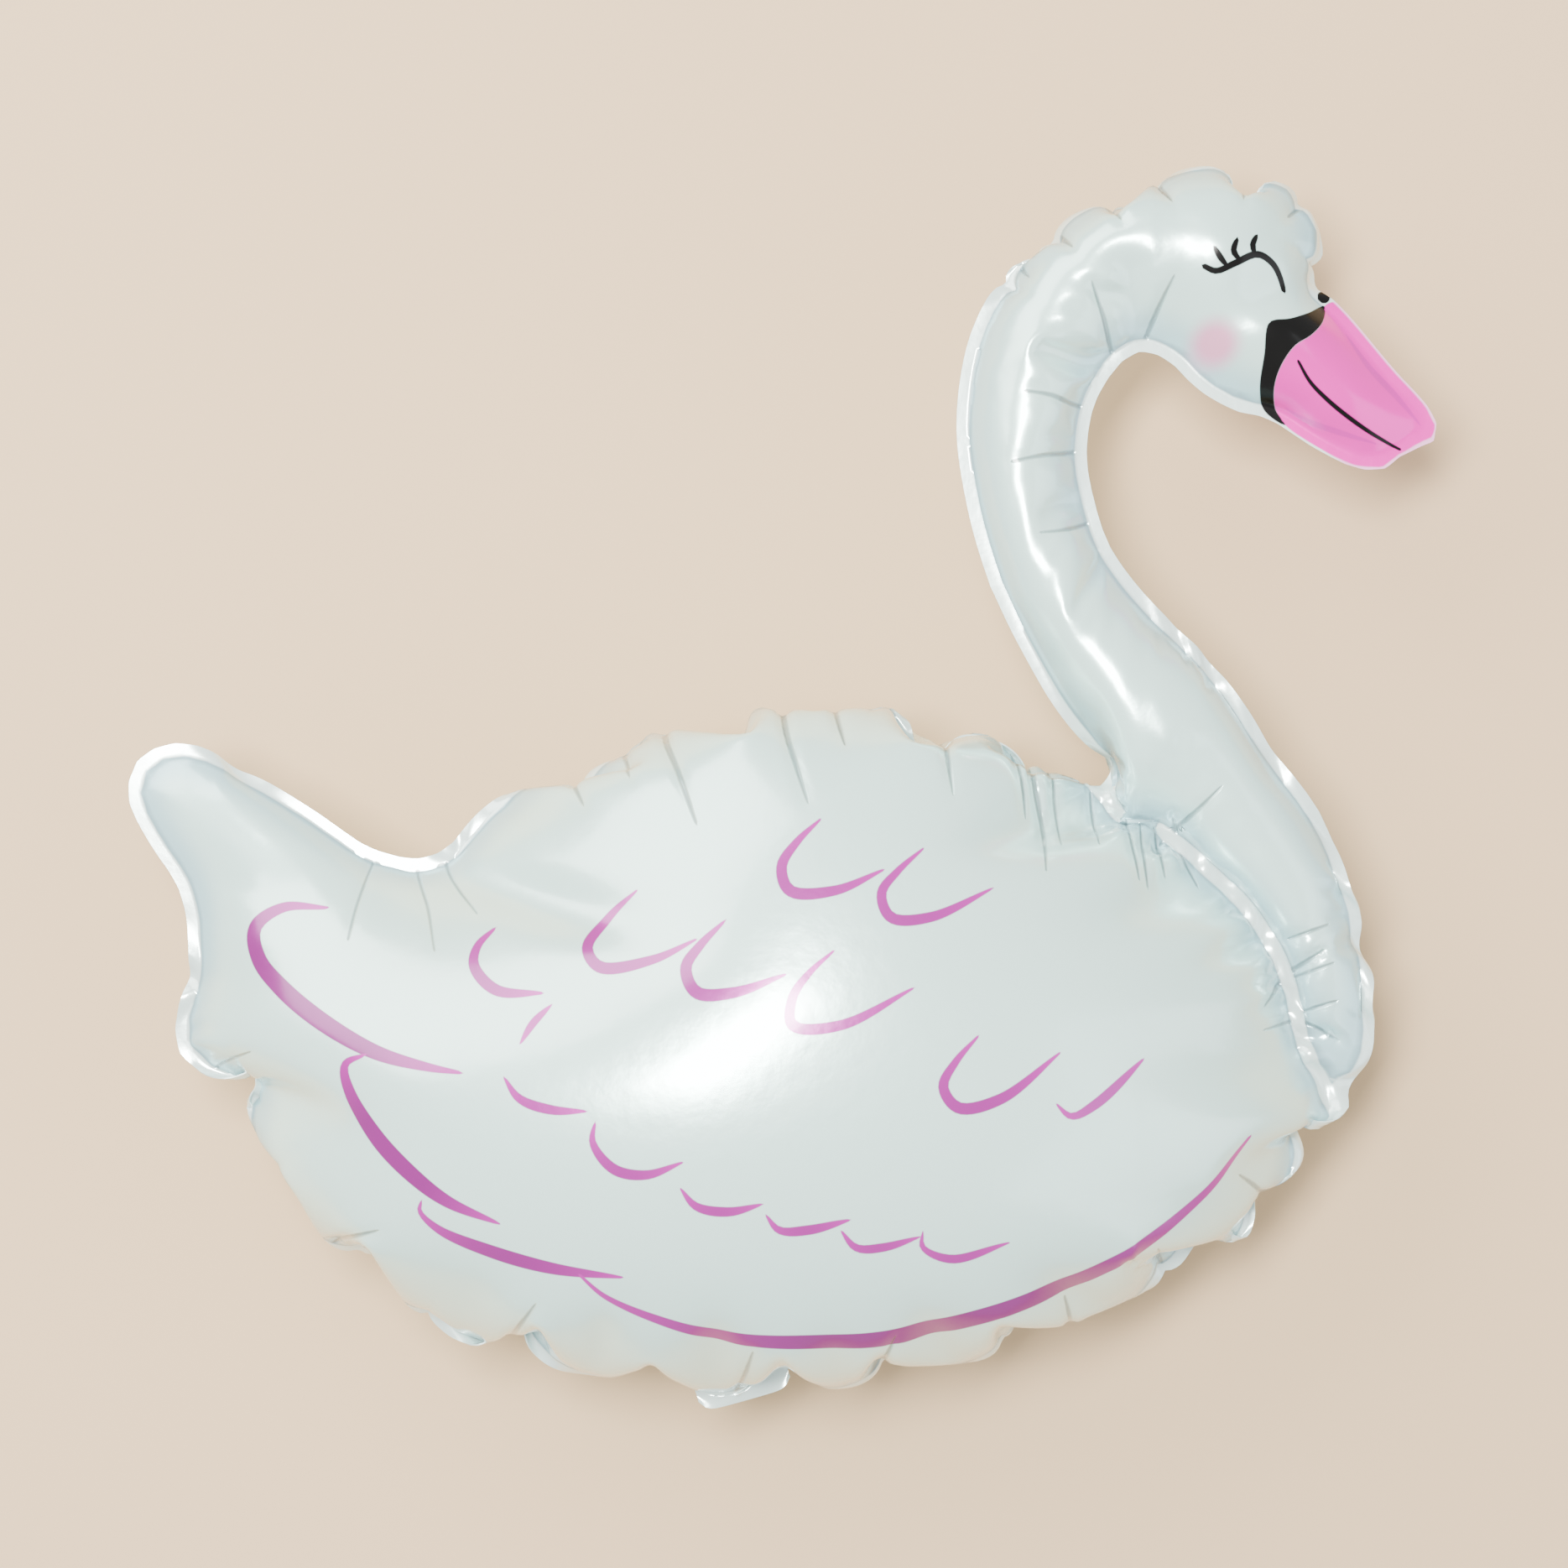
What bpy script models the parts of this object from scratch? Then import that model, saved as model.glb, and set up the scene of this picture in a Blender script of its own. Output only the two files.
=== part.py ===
"""Air-filled foil balloon in the shape of a swan, lying on its side.

Two printed films are welded together along a flat hem round the whole outline. A second, curved weld
parts the neck from the body and leaves a short airway open between the two chambers. Air makes every
chamber round, and the hem is drawn together in gathers wherever the outline bulges.
The swan lies in the XY plane with its beak towards +X and its crown towards +Y. Metres, +Z up.
"""

import math

import bpy
import numpy as np
from mathutils.geometry import delaunay_2d_cdt

# Driving sizes of the inflated balloon, in metres
LENGTH = 0.342  # tail tip to beak tip
BODY_DEPTH = 0.108  # through the fullest part of the body
HEM_WIDTH = 0.0038  # flat weld round the outline
HEM_THICKNESS = 0.0008  # both films with the gathers pressed flat
REST_SPOT_DEPTH = 0.0016  # how far the body is pressed flat where it lies

# The weld between the neck and the body
NECK_WELD_WIDTH = 0.0042
UPPER_WELD_LENGTH = 0.0077  # from the notch behind the neck to the airway
AIRWAY_WIDTH = 0.0085  # gap in the weld, through which the neck fills

# Filling tab, a flat tongue of both films below the belly
TAB_WIDTH = 0.023
TAB_LENGTH = 0.007
TAB_CORNER = 0.003  # cut off each corner and added at each side of the root
TAB_CLEARANCE = 0.0048  # between the tab and the outline's next point

# Gathers of the hem
GATHER_COUNT = 78  # round the whole outline
GATHER_DRIFT = 0.16  # how unevenly they are spaced, in gathers
DRIFT_WAVES = (9, 16)  # round the outline
GATHER_SCALLOP = 0.0024  # how far the deepest gather draws the edge in
GATHER_REACH = 0.013  # how far its valley runs into the chamber
GATHER_WAVE = 0.0012  # how far the hem swings out of its plane
GATHER_BEND = 0.055  # radius of an outline that gathers fully
GATHER_VARIETY = 0.28  # how far weak gathers fall behind strong ones
VARIETY_RATES = (1.7, 0.61)  # radians for each gather, of two waves that never fall in step
VALLEY_SHARPNESS = 1.5
VALLEY_DEPTH = 0.3  # share of the film's height that a valley takes away

# The triangle net, in metres
STEPS_PER_GATHER = 4
CURVE_STEPS = 24  # between two points of an outline
WELD_STEP = 0.0027
ROW_DEPTHS = (0.0013, 0.004, 0.0082)  # rows of points that follow the welds, inside them
ROW_TOLERANCE = 0.00045
LATTICE_PITCH = 0.0074
CLOSEST_POINTS = 0.0009
NET_EPSILON = 1e-7
ROUND_END_ANGLES = (-50, 0, 50)  # of the points round the end of a weld, in degrees

# The outline in hundredths of LENGTH from the tail tip and the lowest point, clockwise from the tail tip
TAIL_TOP = ((0.0, 46.6), (0.9, 49.0), (3.3, 50.0), (6.8, 49.2), (13.7, 45.2), (17.6, 43.0), (21.0, 42.3))
SADDLE = ((24.2, 43.0), (27.6, 45.1), (34.2, 48.1))
BACK = ((42.3, 51.1), (49.4, 52.3), (57.1, 52.3), (64.1, 50.5), (69.5, 48.1), (73.0, 46.8))
NECK_NOTCH = (74.5, 46.3)
NAPE = ((73.4, 49.1), (69.8, 54.8), (65.8, 62.7), (63.8, 70.0), (63.3, 75.6), (64.5, 81.9), (67.6, 87.1))
CROWN = ((71.5, 90.4), (77.1, 93.1), (82.3, 94.2), (86.8, 93.5), (90.0, 91.3), (91.4, 88.1), (91.0, 85.5))
UPPER_BILL = ((92.2, 84.0), (96.5, 78.6), (99.5, 75.3), (100.0, 73.9))
LOWER_BILL = ((99.2, 72.9), (97.4, 72.7), (96.4, 71.6), (94.2, 71.3), (90.5, 73.0), (86.8, 75.4))
CHIN = ((84.7, 75.8), (81.6, 77.3), (79.0, 79.4), (76.9, 80.1), (74.9, 78.9))
THROAT = ((73.4, 75.6), (73.0, 71.3), (74.5, 66.1), (78.2, 60.8), (82.9, 55.8))
BREAST_FOOT = (92.7, 22.8)
BREAST = ((87.3, 49.7), (91.2, 43.9), (93.6, 37.9), (94.6, 31.9), (94.1, 26.7), BREAST_FOOT)
TAB_ROOT = (46.8, 1.0)
BELLY_FRONT = ((90.1, 19.5), (86.6, 15.0), (81.4, 10.9), (74.9, 7.6), (67.1, 4.4), (57.6, 2.0), TAB_ROOT)
BELLY_BACK = ((36.0, 2.2), (25.2, 5.5), (17.4, 11.1), (11.7, 18.0))
TAIL_UNDER = ((8.7, 23.6), (5.7, 25.2), (3.7, 27.5), (4.1, 32.7), (3.7, 38.6), (1.3, 43.1))
OUTLINE = (
    TAIL_TOP + SADDLE + BACK + (NECK_NOTCH,) + NAPE + CROWN + UPPER_BILL + LOWER_BILL
    + CHIN + THROAT + BREAST + BELLY_FRONT + BELLY_BACK + TAIL_UNDER
)

# The weld between the neck and the body, from the notch down to the foot of the breast
WELD_TOP = ((76.4, 45.1), (79.6, 43.8), (82.1, 41.1), (85.0, 38.4))
WELD_FOOT = ((87.1, 35.6), (88.4, 33.2), (89.5, 29.7), (90.6, 26.4), (92.2, 22.9))
NECK_WELD = (NECK_NOTCH,) + WELD_TOP + WELD_FOOT

# Ends that are too narrow to gather: the middle and the radius of each, in hundredths of LENGTH
BEAK_END = ((97.0, 77.0), 13.0)
TAIL_END = ((0.0, 47.0), 12.0)
BREAST_END = (BREAST_FOOT, 3.5)


def clear_scene():
    for obj in list(bpy.data.objects):
        bpy.data.objects.remove(obj, do_unlink=True)


def smooth_curve(points, closed):
    """Points on a centripetal Catmull-Rom curve through hundredths of LENGTH, in metres."""
    knots = np.array(points) * LENGTH / 100
    if closed:
        knots = np.vstack([knots[-1:], knots, knots[:2]])
    else:
        knots = np.vstack([2 * knots[0] - knots[1], knots, 2 * knots[-1] - knots[-2]])
    curve = []
    for p0, p1, p2, p3 in zip(knots, knots[1:], knots[2:], knots[3:]):
        t0 = 0.0
        t1 = t0 + math.sqrt(np.linalg.norm(p1 - p0))
        t2 = t1 + math.sqrt(np.linalg.norm(p2 - p1))
        t3 = t2 + math.sqrt(np.linalg.norm(p3 - p2))
        t = np.linspace(t1, t2, CURVE_STEPS, endpoint=False)[:, None]
        a1 = ((t1 - t) * p0 + (t - t0) * p1) / (t1 - t0)
        a2 = ((t2 - t) * p1 + (t - t1) * p2) / (t2 - t1)
        a3 = ((t3 - t) * p2 + (t - t2) * p3) / (t3 - t2)
        b1 = ((t2 - t) * a1 + (t - t0) * a2) / (t2 - t0)
        b2 = ((t3 - t) * a2 + (t - t1) * a3) / (t3 - t1)
        curve.append(((t2 - t) * b1 + (t - t1) * b2) / (t2 - t1))
    if not closed:
        curve.append(knots[-2:-1])
    return np.vstack(curve)


def run_of(line):
    """Length along a polyline up to each of its points."""
    return np.concatenate([[0], np.cumsum(np.linalg.norm(np.diff(line, axis=0), axis=1))])


def points_at(line, lengths):
    """Points of a polyline at these lengths along it."""
    run = run_of(line)
    return np.column_stack([np.interp(lengths, run, line[:, axis]) for axis in (0, 1)])


def inward_normals(loop):
    """Unit normals that point into a clockwise loop."""
    tangent = np.roll(loop, -1, axis=0) - np.roll(loop, 1, axis=0)
    tangent /= np.linalg.norm(tangent, axis=1)[:, None]
    return np.column_stack([tangent[:, 1], -tangent[:, 0]])


def distance_to(points, line, closed):
    """Distance of each point from a polyline, and the number of the nearest stretch."""
    starts = line if closed else line[:-1]
    ends = np.roll(line, -1, axis=0) if closed else line[1:]
    run = ends - starts
    offset = points[:, None, :] - starts[None]
    share = np.clip((offset * run).sum(2) / (run * run).sum(1), 0, 1)
    gap = np.linalg.norm(offset - share[..., None] * run, axis=2)
    nearest = gap.argmin(1)
    return gap[np.arange(len(points)), nearest], nearest


def inside_loop(points, loop):
    """True for the points that lie inside a closed polyline."""
    ends = np.roll(loop, -1, axis=0)
    x, y = points[:, 0, None], points[:, 1, None]
    spans = (loop[:, 1] > y) != (ends[:, 1] > y)
    rise = ends[:, 1] - loop[:, 1]
    rise[rise == 0] = NET_EPSILON
    crossing = loop[:, 0] + (y - loop[:, 1]) * (ends[:, 0] - loop[:, 0]) / rise
    return (spans & (x < crossing)).sum(1) % 2 == 1


def edge_loop():
    """Outline points, the number of gathers up to each, and how strongly it is gathered, from 0 to 1."""
    numbers = np.arange(GATHER_COUNT * STEPS_PER_GATHER) / STEPS_PER_GATHER
    turn = 2 * math.pi * numbers / GATHER_COUNT
    drift = GATHER_DRIFT * sum(np.sin(waves * turn) for waves in DRIFT_WAVES)
    curve = smooth_curve(OUTLINE, True)
    curve = np.vstack([curve, curve[:1]])
    perimeter = run_of(curve)[-1]
    loop = points_at(curve, (numbers + drift) % GATHER_COUNT / GATHER_COUNT * perimeter)
    strength = bend_of(loop) * GATHER_BEND
    strength = np.sqrt(np.clip(strength, 0, 1))
    fast, slow = VARIETY_RATES
    strength *= 1 - GATHER_VARIETY * (1 - np.sin(fast * numbers) * np.sin(slow * numbers))
    for middle, radius in (BEAK_END, TAIL_END, BREAST_END):
        away = np.linalg.norm(loop * 100 / LENGTH - middle, axis=1) / radius
        strength *= np.clip(3 * away - 2, 0, 1)
    return loop, numbers, strength


def bend_of(loop):
    """One over the radius of a clockwise loop, averaged over a gather on both sides of each point."""
    normals = inward_normals(loop)
    turning = -np.cross(np.roll(normals, 1, axis=0), np.roll(normals, -1, axis=0))
    span = np.linalg.norm(np.roll(loop, 1, axis=0) - loop, axis=1)
    span += np.linalg.norm(np.roll(loop, -1, axis=0) - loop, axis=1)
    window = np.hanning(2 * STEPS_PER_GATHER + 1)
    sides = STEPS_PER_GATHER
    turning = np.convolve(np.concatenate([turning[-sides:], turning, turning[:sides]]), window, "valid")
    span = np.convolve(np.concatenate([span[-sides:], span, span[:sides]]), window, "valid")
    return turning / span


def neck_weld():
    """The two stretches of the weld between neck and body, on both sides of the airway."""
    curve = smooth_curve(NECK_WELD, False)
    length = run_of(curve)[-1]
    stretches = []
    for start, end in ((0, UPPER_WELD_LENGTH), (UPPER_WELD_LENGTH + AIRWAY_WIDTH + NECK_WELD_WIDTH, length)):
        steps = max(2, round((end - start) / WELD_STEP) + 1)
        stretches.append(points_at(curve, np.linspace(start, end, steps)))
    return stretches


def inside_weld(points, loop, welds):
    """How far each point lies inside the chambers, in metres, negative on a weld."""
    room = distance_to(points, loop, True)[0] - HEM_WIDTH
    for weld in welds:
        room = np.minimum(room, distance_to(points, weld, False)[0] - NECK_WELD_WIDTH / 2)
    return room


def beside(line, gap):
    """Points at this distance from an open polyline, on both sides and round its ends."""
    tangent = np.gradient(line, axis=0)
    tangent /= np.linalg.norm(tangent, axis=1)[:, None]
    normal = np.column_stack([tangent[:, 1], -tangent[:, 0]])
    rounds = []
    for end, way in ((0, -1), (-1, 1)):
        for angle in ROUND_END_ANGLES:
            turn = math.radians(angle)
            outwards = way * tangent[end] * math.cos(turn) + normal[end] * math.sin(turn)
            rounds.append(line[end] + gap * outwards)
    return np.vstack([line + gap * normal, line - gap * normal, rounds])


def spread_points(loop, welds):
    """Points of the triangle net: rows that follow the welds, then an even lattice."""
    normals = inward_normals(loop)
    rows = [beside(weld, 0.0) for weld in welds]
    for depth in (0.0,) + ROW_DEPTHS:
        row = [loop + normals * (HEM_WIDTH + depth)]
        row += [beside(weld, NECK_WELD_WIDTH / 2 + depth) for weld in welds]
        row = np.vstack(row)
        room = inside_weld(row, loop, welds)
        rows.append(row[np.abs(room - depth) < ROW_TOLERANCE])
    low, high = loop.min(0), loop.max(0)
    lattice = []
    for number, y in enumerate(np.arange(low[1], high[1], LATTICE_PITCH * math.sqrt(3) / 2)):
        x = np.arange(low[0] + (number % 2) * LATTICE_PITCH / 2, high[0], LATTICE_PITCH)
        lattice.append(np.column_stack([x, np.full_like(x, y)]))
    lattice = np.vstack(lattice)
    lattice = lattice[inside_loop(lattice, loop)]
    room = inside_weld(lattice, loop, welds)
    rows.append(lattice[room > ROW_DEPTHS[-1] + LATTICE_PITCH / 2])
    return thinned(np.vstack(rows))


def thinned(points):
    """The points without those that crowd an earlier one."""
    kept = points[:1]
    for point in points[1:]:
        if (np.abs(kept - point).max(1) > CLOSEST_POINTS).all():
            kept = np.vstack([kept, point])
    return kept


def tab_outline(loop):
    """The loop with the filling tab in it, and the tab's middle."""
    root = np.linalg.norm(loop - np.array(TAB_ROOT) * LENGTH / 100, axis=1).argmin()
    outwards = -inward_normals(loop)[root]
    side = np.array([-outwards[1], outwards[0]])
    half, deep, corner = TAB_WIDTH / 2, TAB_LENGTH, TAB_CORNER
    shape = (
        (-half - corner, -HEM_WIDTH / 4), (-half, corner), (-half, deep - corner), (corner - half, deep),
        (half - corner, deep), (half, deep - corner), (half, corner), (half + corner, -HEM_WIDTH / 4),
    )
    tongue = np.array([loop[root] + side * across + outwards * out for across, out in shape])
    covered = np.abs((loop - loop[root]) @ side) < half + TAB_CLEARANCE
    covered &= np.linalg.norm(loop - loop[root], axis=1) < TAB_WIDTH
    first = root
    while covered[first]:
        first = (first - 1) % len(loop)
    last = root
    while covered[last]:
        last = (last + 1) % len(loop)
    ordered = np.roll(loop, -last, axis=0)[: (first - last) % len(loop) + 1]
    if np.linalg.norm(tongue[0] - ordered[-1]) > np.linalg.norm(tongue[-1] - ordered[-1]):
        tongue = tongue[::-1]
    return np.vstack([ordered, tongue]), loop[root] + outwards * deep / 2


def net_of(outline, inner):
    """A net of counter-clockwise triangles that fills the outline: its points and its triangles."""
    points = np.vstack([outline, inner])
    found = delaunay_2d_cdt(
        [tuple(point) for point in points], [], [list(range(len(outline)))], 1, NET_EPSILON
    )
    net = np.array([tuple(point) for point in found[0]])
    triangles = np.array(found[2])
    a, b, c = (net[triangles[:, corner]] for corner in range(3))
    clockwise = np.cross(b - a, c - a) < 0
    triangles[clockwise] = triangles[clockwise, ::-1]
    return net, triangles


def inflated(net, triangles, free):
    """Height of the film over the weld plane, as a membrane under even pressure takes it."""
    corners = net[triangles]
    weights = np.zeros((len(triangles), 3))
    for corner in range(3):
        arm = corners[:, (corner + 1) % 3] - corners[:, corner]
        other = corners[:, (corner + 2) % 3] - corners[:, corner]
        weights[:, corner] = (arm * other).sum(1) / np.abs(np.cross(arm, other)) / 2
    area = np.abs(np.cross(corners[:, 1] - corners[:, 0], corners[:, 2] - corners[:, 0])) / 2
    load = np.bincount(triangles.ravel(), np.repeat(area / 3, 3), len(net))
    stiffness = np.zeros((len(net), len(net)))
    for corner in range(3):
        a, b = triangles[:, (corner + 1) % 3], triangles[:, (corner + 2) % 3]
        np.add.at(stiffness, (a, b), -weights[:, corner])
        np.add.at(stiffness, (b, a), -weights[:, corner])
        np.add.at(stiffness, (a, a), weights[:, corner])
        np.add.at(stiffness, (b, b), weights[:, corner])
    lift = np.zeros(len(net))
    index = np.flatnonzero(free)
    lift[index] = np.linalg.solve(stiffness[np.ix_(index, index)], load[index])
    height = np.sqrt(2 * np.maximum(lift, 0))
    slack = 2 * height.max() / BODY_DEPTH - 1
    return height / (1 + slack * (height / height.max()) ** 2)


def gathered(net, room, edge, height):
    """The net drawn in at the hem, the hem's swing out of its plane, and the height with its valleys."""
    loop, numbers, strength = edge
    nearest = distance_to(net, loop, True)[1]
    number = numbers[nearest]
    pull = strength[nearest] * np.exp(-np.maximum(room, 0) / GATHER_REACH)
    valley = (1 - np.abs(np.sin(math.pi * number))) ** VALLEY_SHARPNESS
    plane = net + inward_normals(loop)[nearest] * (GATHER_SCALLOP * pull * valley)[:, None]
    swing = GATHER_WAVE * pull * np.cos(math.pi * number)
    return plane, swing, height * (1 - VALLEY_DEPTH * pull * valley)


def balloon_mesh():
    """Vertices and faces of the whole sealed balloon, with the rest spot at zero height."""
    loop, numbers, strength = edge_loop()
    welds = neck_weld()
    outline, tab_middle = tab_outline(loop)
    strength[np.linalg.norm(loop - tab_middle, axis=1) < TAB_WIDTH] = 0
    net, triangles = net_of(outline, spread_points(loop, welds))
    room = inside_weld(net, loop, welds)
    inside = inside_loop(net, loop)
    height = inflated(net, triangles, (room > ROW_TOLERANCE) & inside)
    room[~inside] = 0
    plane, swing, height = gathered(net, room, (loop, numbers, strength), height)
    weld_height = BODY_DEPTH / 2 + HEM_THICKNESS / 2 - REST_SPOT_DEPTH
    top = weld_height + swing + height + HEM_THICKNESS / 2
    bottom = np.maximum(weld_height + swing - height - HEM_THICKNESS / 2, 0)
    vertices = np.vstack([np.column_stack([plane, top]), np.column_stack([plane, bottom])])
    count = len(net)
    upper = [tuple(int(v) for v in triangle) for triangle in triangles]
    lower = [(c + count, b + count, a + count) for a, b, c in upper]
    sides = {side for a, b, c in upper for side in ((a, b), (b, c), (c, a))}
    rim = [(b, a, a + count, b + count) for a, b in sorted(sides) if (b, a) not in sides]
    return vertices, upper + lower + rim


def pearl_white():
    """Pearl-white print over metallised film, with a soft gloss."""
    material = bpy.data.materials.new("pearl_foil")
    material.use_nodes = True
    shader = material.node_tree.nodes["Principled BSDF"]
    shader.inputs["Base Color"].default_value = (0.78, 0.84, 0.84, 1)
    shader.inputs["Metallic"].default_value = 0.2
    shader.inputs["Roughness"].default_value = 0.28
    return material


def main():
    clear_scene()
    vertices, faces = balloon_mesh()
    low, high = vertices.min(0), vertices.max(0)
    vertices -= ((low[0] + high[0]) / 2, (low[1] + high[1]) / 2, low[2])
    mesh = bpy.data.meshes.new("foil_envelope")
    mesh.from_pydata([tuple(vertex) for vertex in vertices], [], faces)
    mesh.materials.append(pearl_white())
    mesh.shade_smooth()
    mesh.set_sharp_from_angle(angle=math.radians(50))
    envelope = bpy.data.objects.new("foil_envelope", mesh)
    bpy.context.scene.collection.objects.link(envelope)


main()
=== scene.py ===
"""Foil swan balloon, dressed: the film is cut, welded and blown up round the fixed solid, then printed."""
import math

import bpy
import numpy as np
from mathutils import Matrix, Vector
from mathutils.geometry import delaunay_2d_cdt
from numpy.linalg import norm


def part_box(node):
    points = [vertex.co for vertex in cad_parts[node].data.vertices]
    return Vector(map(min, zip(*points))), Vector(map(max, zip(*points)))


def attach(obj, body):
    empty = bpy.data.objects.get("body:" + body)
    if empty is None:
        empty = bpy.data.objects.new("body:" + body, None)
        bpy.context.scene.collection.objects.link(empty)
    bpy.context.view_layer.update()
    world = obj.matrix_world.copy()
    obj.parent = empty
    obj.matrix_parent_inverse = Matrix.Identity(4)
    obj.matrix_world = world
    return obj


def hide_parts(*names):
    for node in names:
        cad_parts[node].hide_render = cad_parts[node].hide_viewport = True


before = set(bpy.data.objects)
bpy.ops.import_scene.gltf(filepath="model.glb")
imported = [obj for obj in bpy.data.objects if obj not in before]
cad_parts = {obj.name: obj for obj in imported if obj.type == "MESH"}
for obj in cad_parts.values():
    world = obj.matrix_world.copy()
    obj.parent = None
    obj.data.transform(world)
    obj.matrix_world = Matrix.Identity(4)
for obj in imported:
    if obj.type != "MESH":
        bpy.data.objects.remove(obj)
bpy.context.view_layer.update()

# Foil envelope: two printed polyester films, metallised inside, welded along a flat hem and blown up.
# It is cut flat and larger than it ends up: air pulls the welds in, and the spare film gathers there.
# Here the same is done: a flat cut of each chamber, a net of film over it, then air, at three scales.
HUNDREDTH = 0.00342
solid_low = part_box("foil_envelope")[0]
TAIL_TIP_X = solid_low.x
LOWEST_Y = solid_low.y + 0.00358
WELD_HEIGHT = 0.0528
TAIL_TOP = ((0.0, 46.6), (0.9, 49.0), (3.3, 50.0), (6.8, 49.2), (13.7, 45.2), (17.6, 43.0), (21.0, 42.3))
SADDLE = ((24.2, 43.0), (27.6, 45.1), (34.2, 48.1))
BACK = ((42.3, 51.1), (49.4, 52.3), (57.1, 52.3), (64.1, 50.5), (69.5, 48.1), (73.0, 46.8))
NECK_NOTCH = (74.5, 46.3)
NAPE = ((73.4, 49.1), (69.8, 54.8), (65.8, 62.7), (63.8, 70.0), (63.3, 75.6), (64.5, 81.9), (67.6, 87.1))
CROWN = ((71.5, 90.4), (77.1, 93.1), (82.3, 94.2), (86.8, 93.5), (90.0, 91.3), (91.4, 88.1), (91.0, 85.5))
UPPER_BILL = ((92.2, 84.0), (96.5, 78.6), (99.5, 75.3), (100.0, 73.9))
LOWER_BILL = ((99.2, 72.9), (97.4, 72.7), (96.4, 71.6), (94.2, 71.3), (90.5, 73.0), (86.8, 75.4))
CHIN = ((84.7, 75.8), (81.6, 77.3), (79.0, 79.4), (76.9, 80.1), (74.9, 78.9))
THROAT = ((73.4, 75.6), (73.0, 71.3), (74.5, 66.1), (78.2, 60.8), (82.9, 55.8))
BREAST_FOOT = (92.7, 22.8)
BREAST = ((87.3, 49.7), (91.2, 43.9), (93.6, 37.9), (94.6, 31.9), (94.1, 26.7), BREAST_FOOT)
TAB_ROOT = (46.8, 1.0)
BELLY_FRONT = ((90.1, 19.5), (86.6, 15.0), (81.4, 10.9), (74.9, 7.6), (67.1, 4.4), (57.6, 2.0), TAB_ROOT)
BELLY_BACK = ((36.0, 2.2), (25.2, 5.5), (17.4, 11.1), (11.7, 18.0))
TAIL_UNDER = ((8.7, 23.6), (5.7, 25.2), (3.7, 27.5), (4.1, 32.7), (3.7, 38.6), (1.3, 43.1))
HEAD_SIDE = (NECK_NOTCH,) + NAPE + CROWN + UPPER_BILL + LOWER_BILL + CHIN + THROAT + BREAST
BODY_SIDE = BELLY_FRONT + BELLY_BACK + TAIL_UNDER + TAIL_TOP + SADDLE + BACK
WELD_TOP = ((76.4, 45.1), (79.6, 43.8), (82.1, 41.1), (85.0, 38.4))
WELD_FOOT = ((87.1, 35.6), (88.4, 33.2), (89.5, 29.7), (90.6, 26.4), (92.2, 22.9))
NECK_WELD = (NECK_NOTCH,) + WELD_TOP + WELD_FOOT
HEM_WIDTH = 0.0034
NECK_WELD_WIDTH = 0.0042
SEAM_STEP = 0.0052
NET_PITCH = 0.0060


def metres(points):
    """Hundredths of the swan's length, turned into metres in the frame."""
    return np.array(points) * HUNDREDTH + (TAIL_TIP_X, LOWEST_Y)


def hundredths(points):
    """The points' x and y as hundredths of the swan's length, from its tail tip and lowest point."""
    return ((points[:, :2] - metres((0, 0))) / HUNDREDTH).T


def ramp(values, start, end):
    """From 0 at the start to 1 at the end, and level beyond them."""
    return np.clip((values - start) / (end - start), 0, 1)


def smooth_curve(knots, closed, steps=24):
    """Points on a centripetal Catmull-Rom curve through the knots."""
    if closed:
        knots = np.vstack([knots[-1:], knots, knots[:2]])
    else:
        knots = np.vstack([2 * knots[0] - knots[1], knots, 2 * knots[-1] - knots[-2]])
    curve = []
    for p0, p1, p2, p3 in zip(knots, knots[1:], knots[2:], knots[3:]):
        t0 = 0.0
        t1 = t0 + math.sqrt(norm(p1 - p0))
        t2 = t1 + math.sqrt(norm(p2 - p1))
        t3 = t2 + math.sqrt(norm(p3 - p2))
        t = np.linspace(t1, t2, steps, endpoint=False)[:, None]
        a1 = ((t1 - t) * p0 + (t - t0) * p1) / (t1 - t0)
        a2 = ((t2 - t) * p1 + (t - t1) * p2) / (t2 - t1)
        a3 = ((t3 - t) * p2 + (t - t2) * p3) / (t3 - t2)
        b1 = ((t2 - t) * a1 + (t - t0) * a2) / (t2 - t0)
        b2 = ((t3 - t) * a2 + (t - t1) * a3) / (t3 - t1)
        curve.append(((t2 - t) * b1 + (t - t1) * b2) / (t2 - t1))
    if not closed:
        curve.append(knots[-2:-1])
    return np.vstack(curve)


def evenly(line, step, closed):
    """The same line with points about a step apart."""
    if closed:
        line = np.vstack([line, line[:1]])
    run = np.concatenate([[0], np.cumsum(norm(np.diff(line, axis=0), axis=1))])
    at = np.linspace(0, run[-1], round(run[-1] / step) + 1)
    if closed:
        at = at[:-1]
    return np.column_stack([np.interp(at, run, line[:, axis]) for axis in (0, 1)])


def round_steps(loop):
    """For each point of a closed line, the step from the point before it to the one after it."""
    return np.roll(loop, -1, axis=0) - np.roll(loop, 1, axis=0)


def inward_normals(loop):
    """Unit normals that point into a clockwise loop."""
    tangent = round_steps(loop)
    tangent /= norm(tangent, axis=1)[:, None]
    return np.column_stack([tangent[:, 1], -tangent[:, 0]])


MOST_PAIRS_AT_ONCE = 4000000


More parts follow.
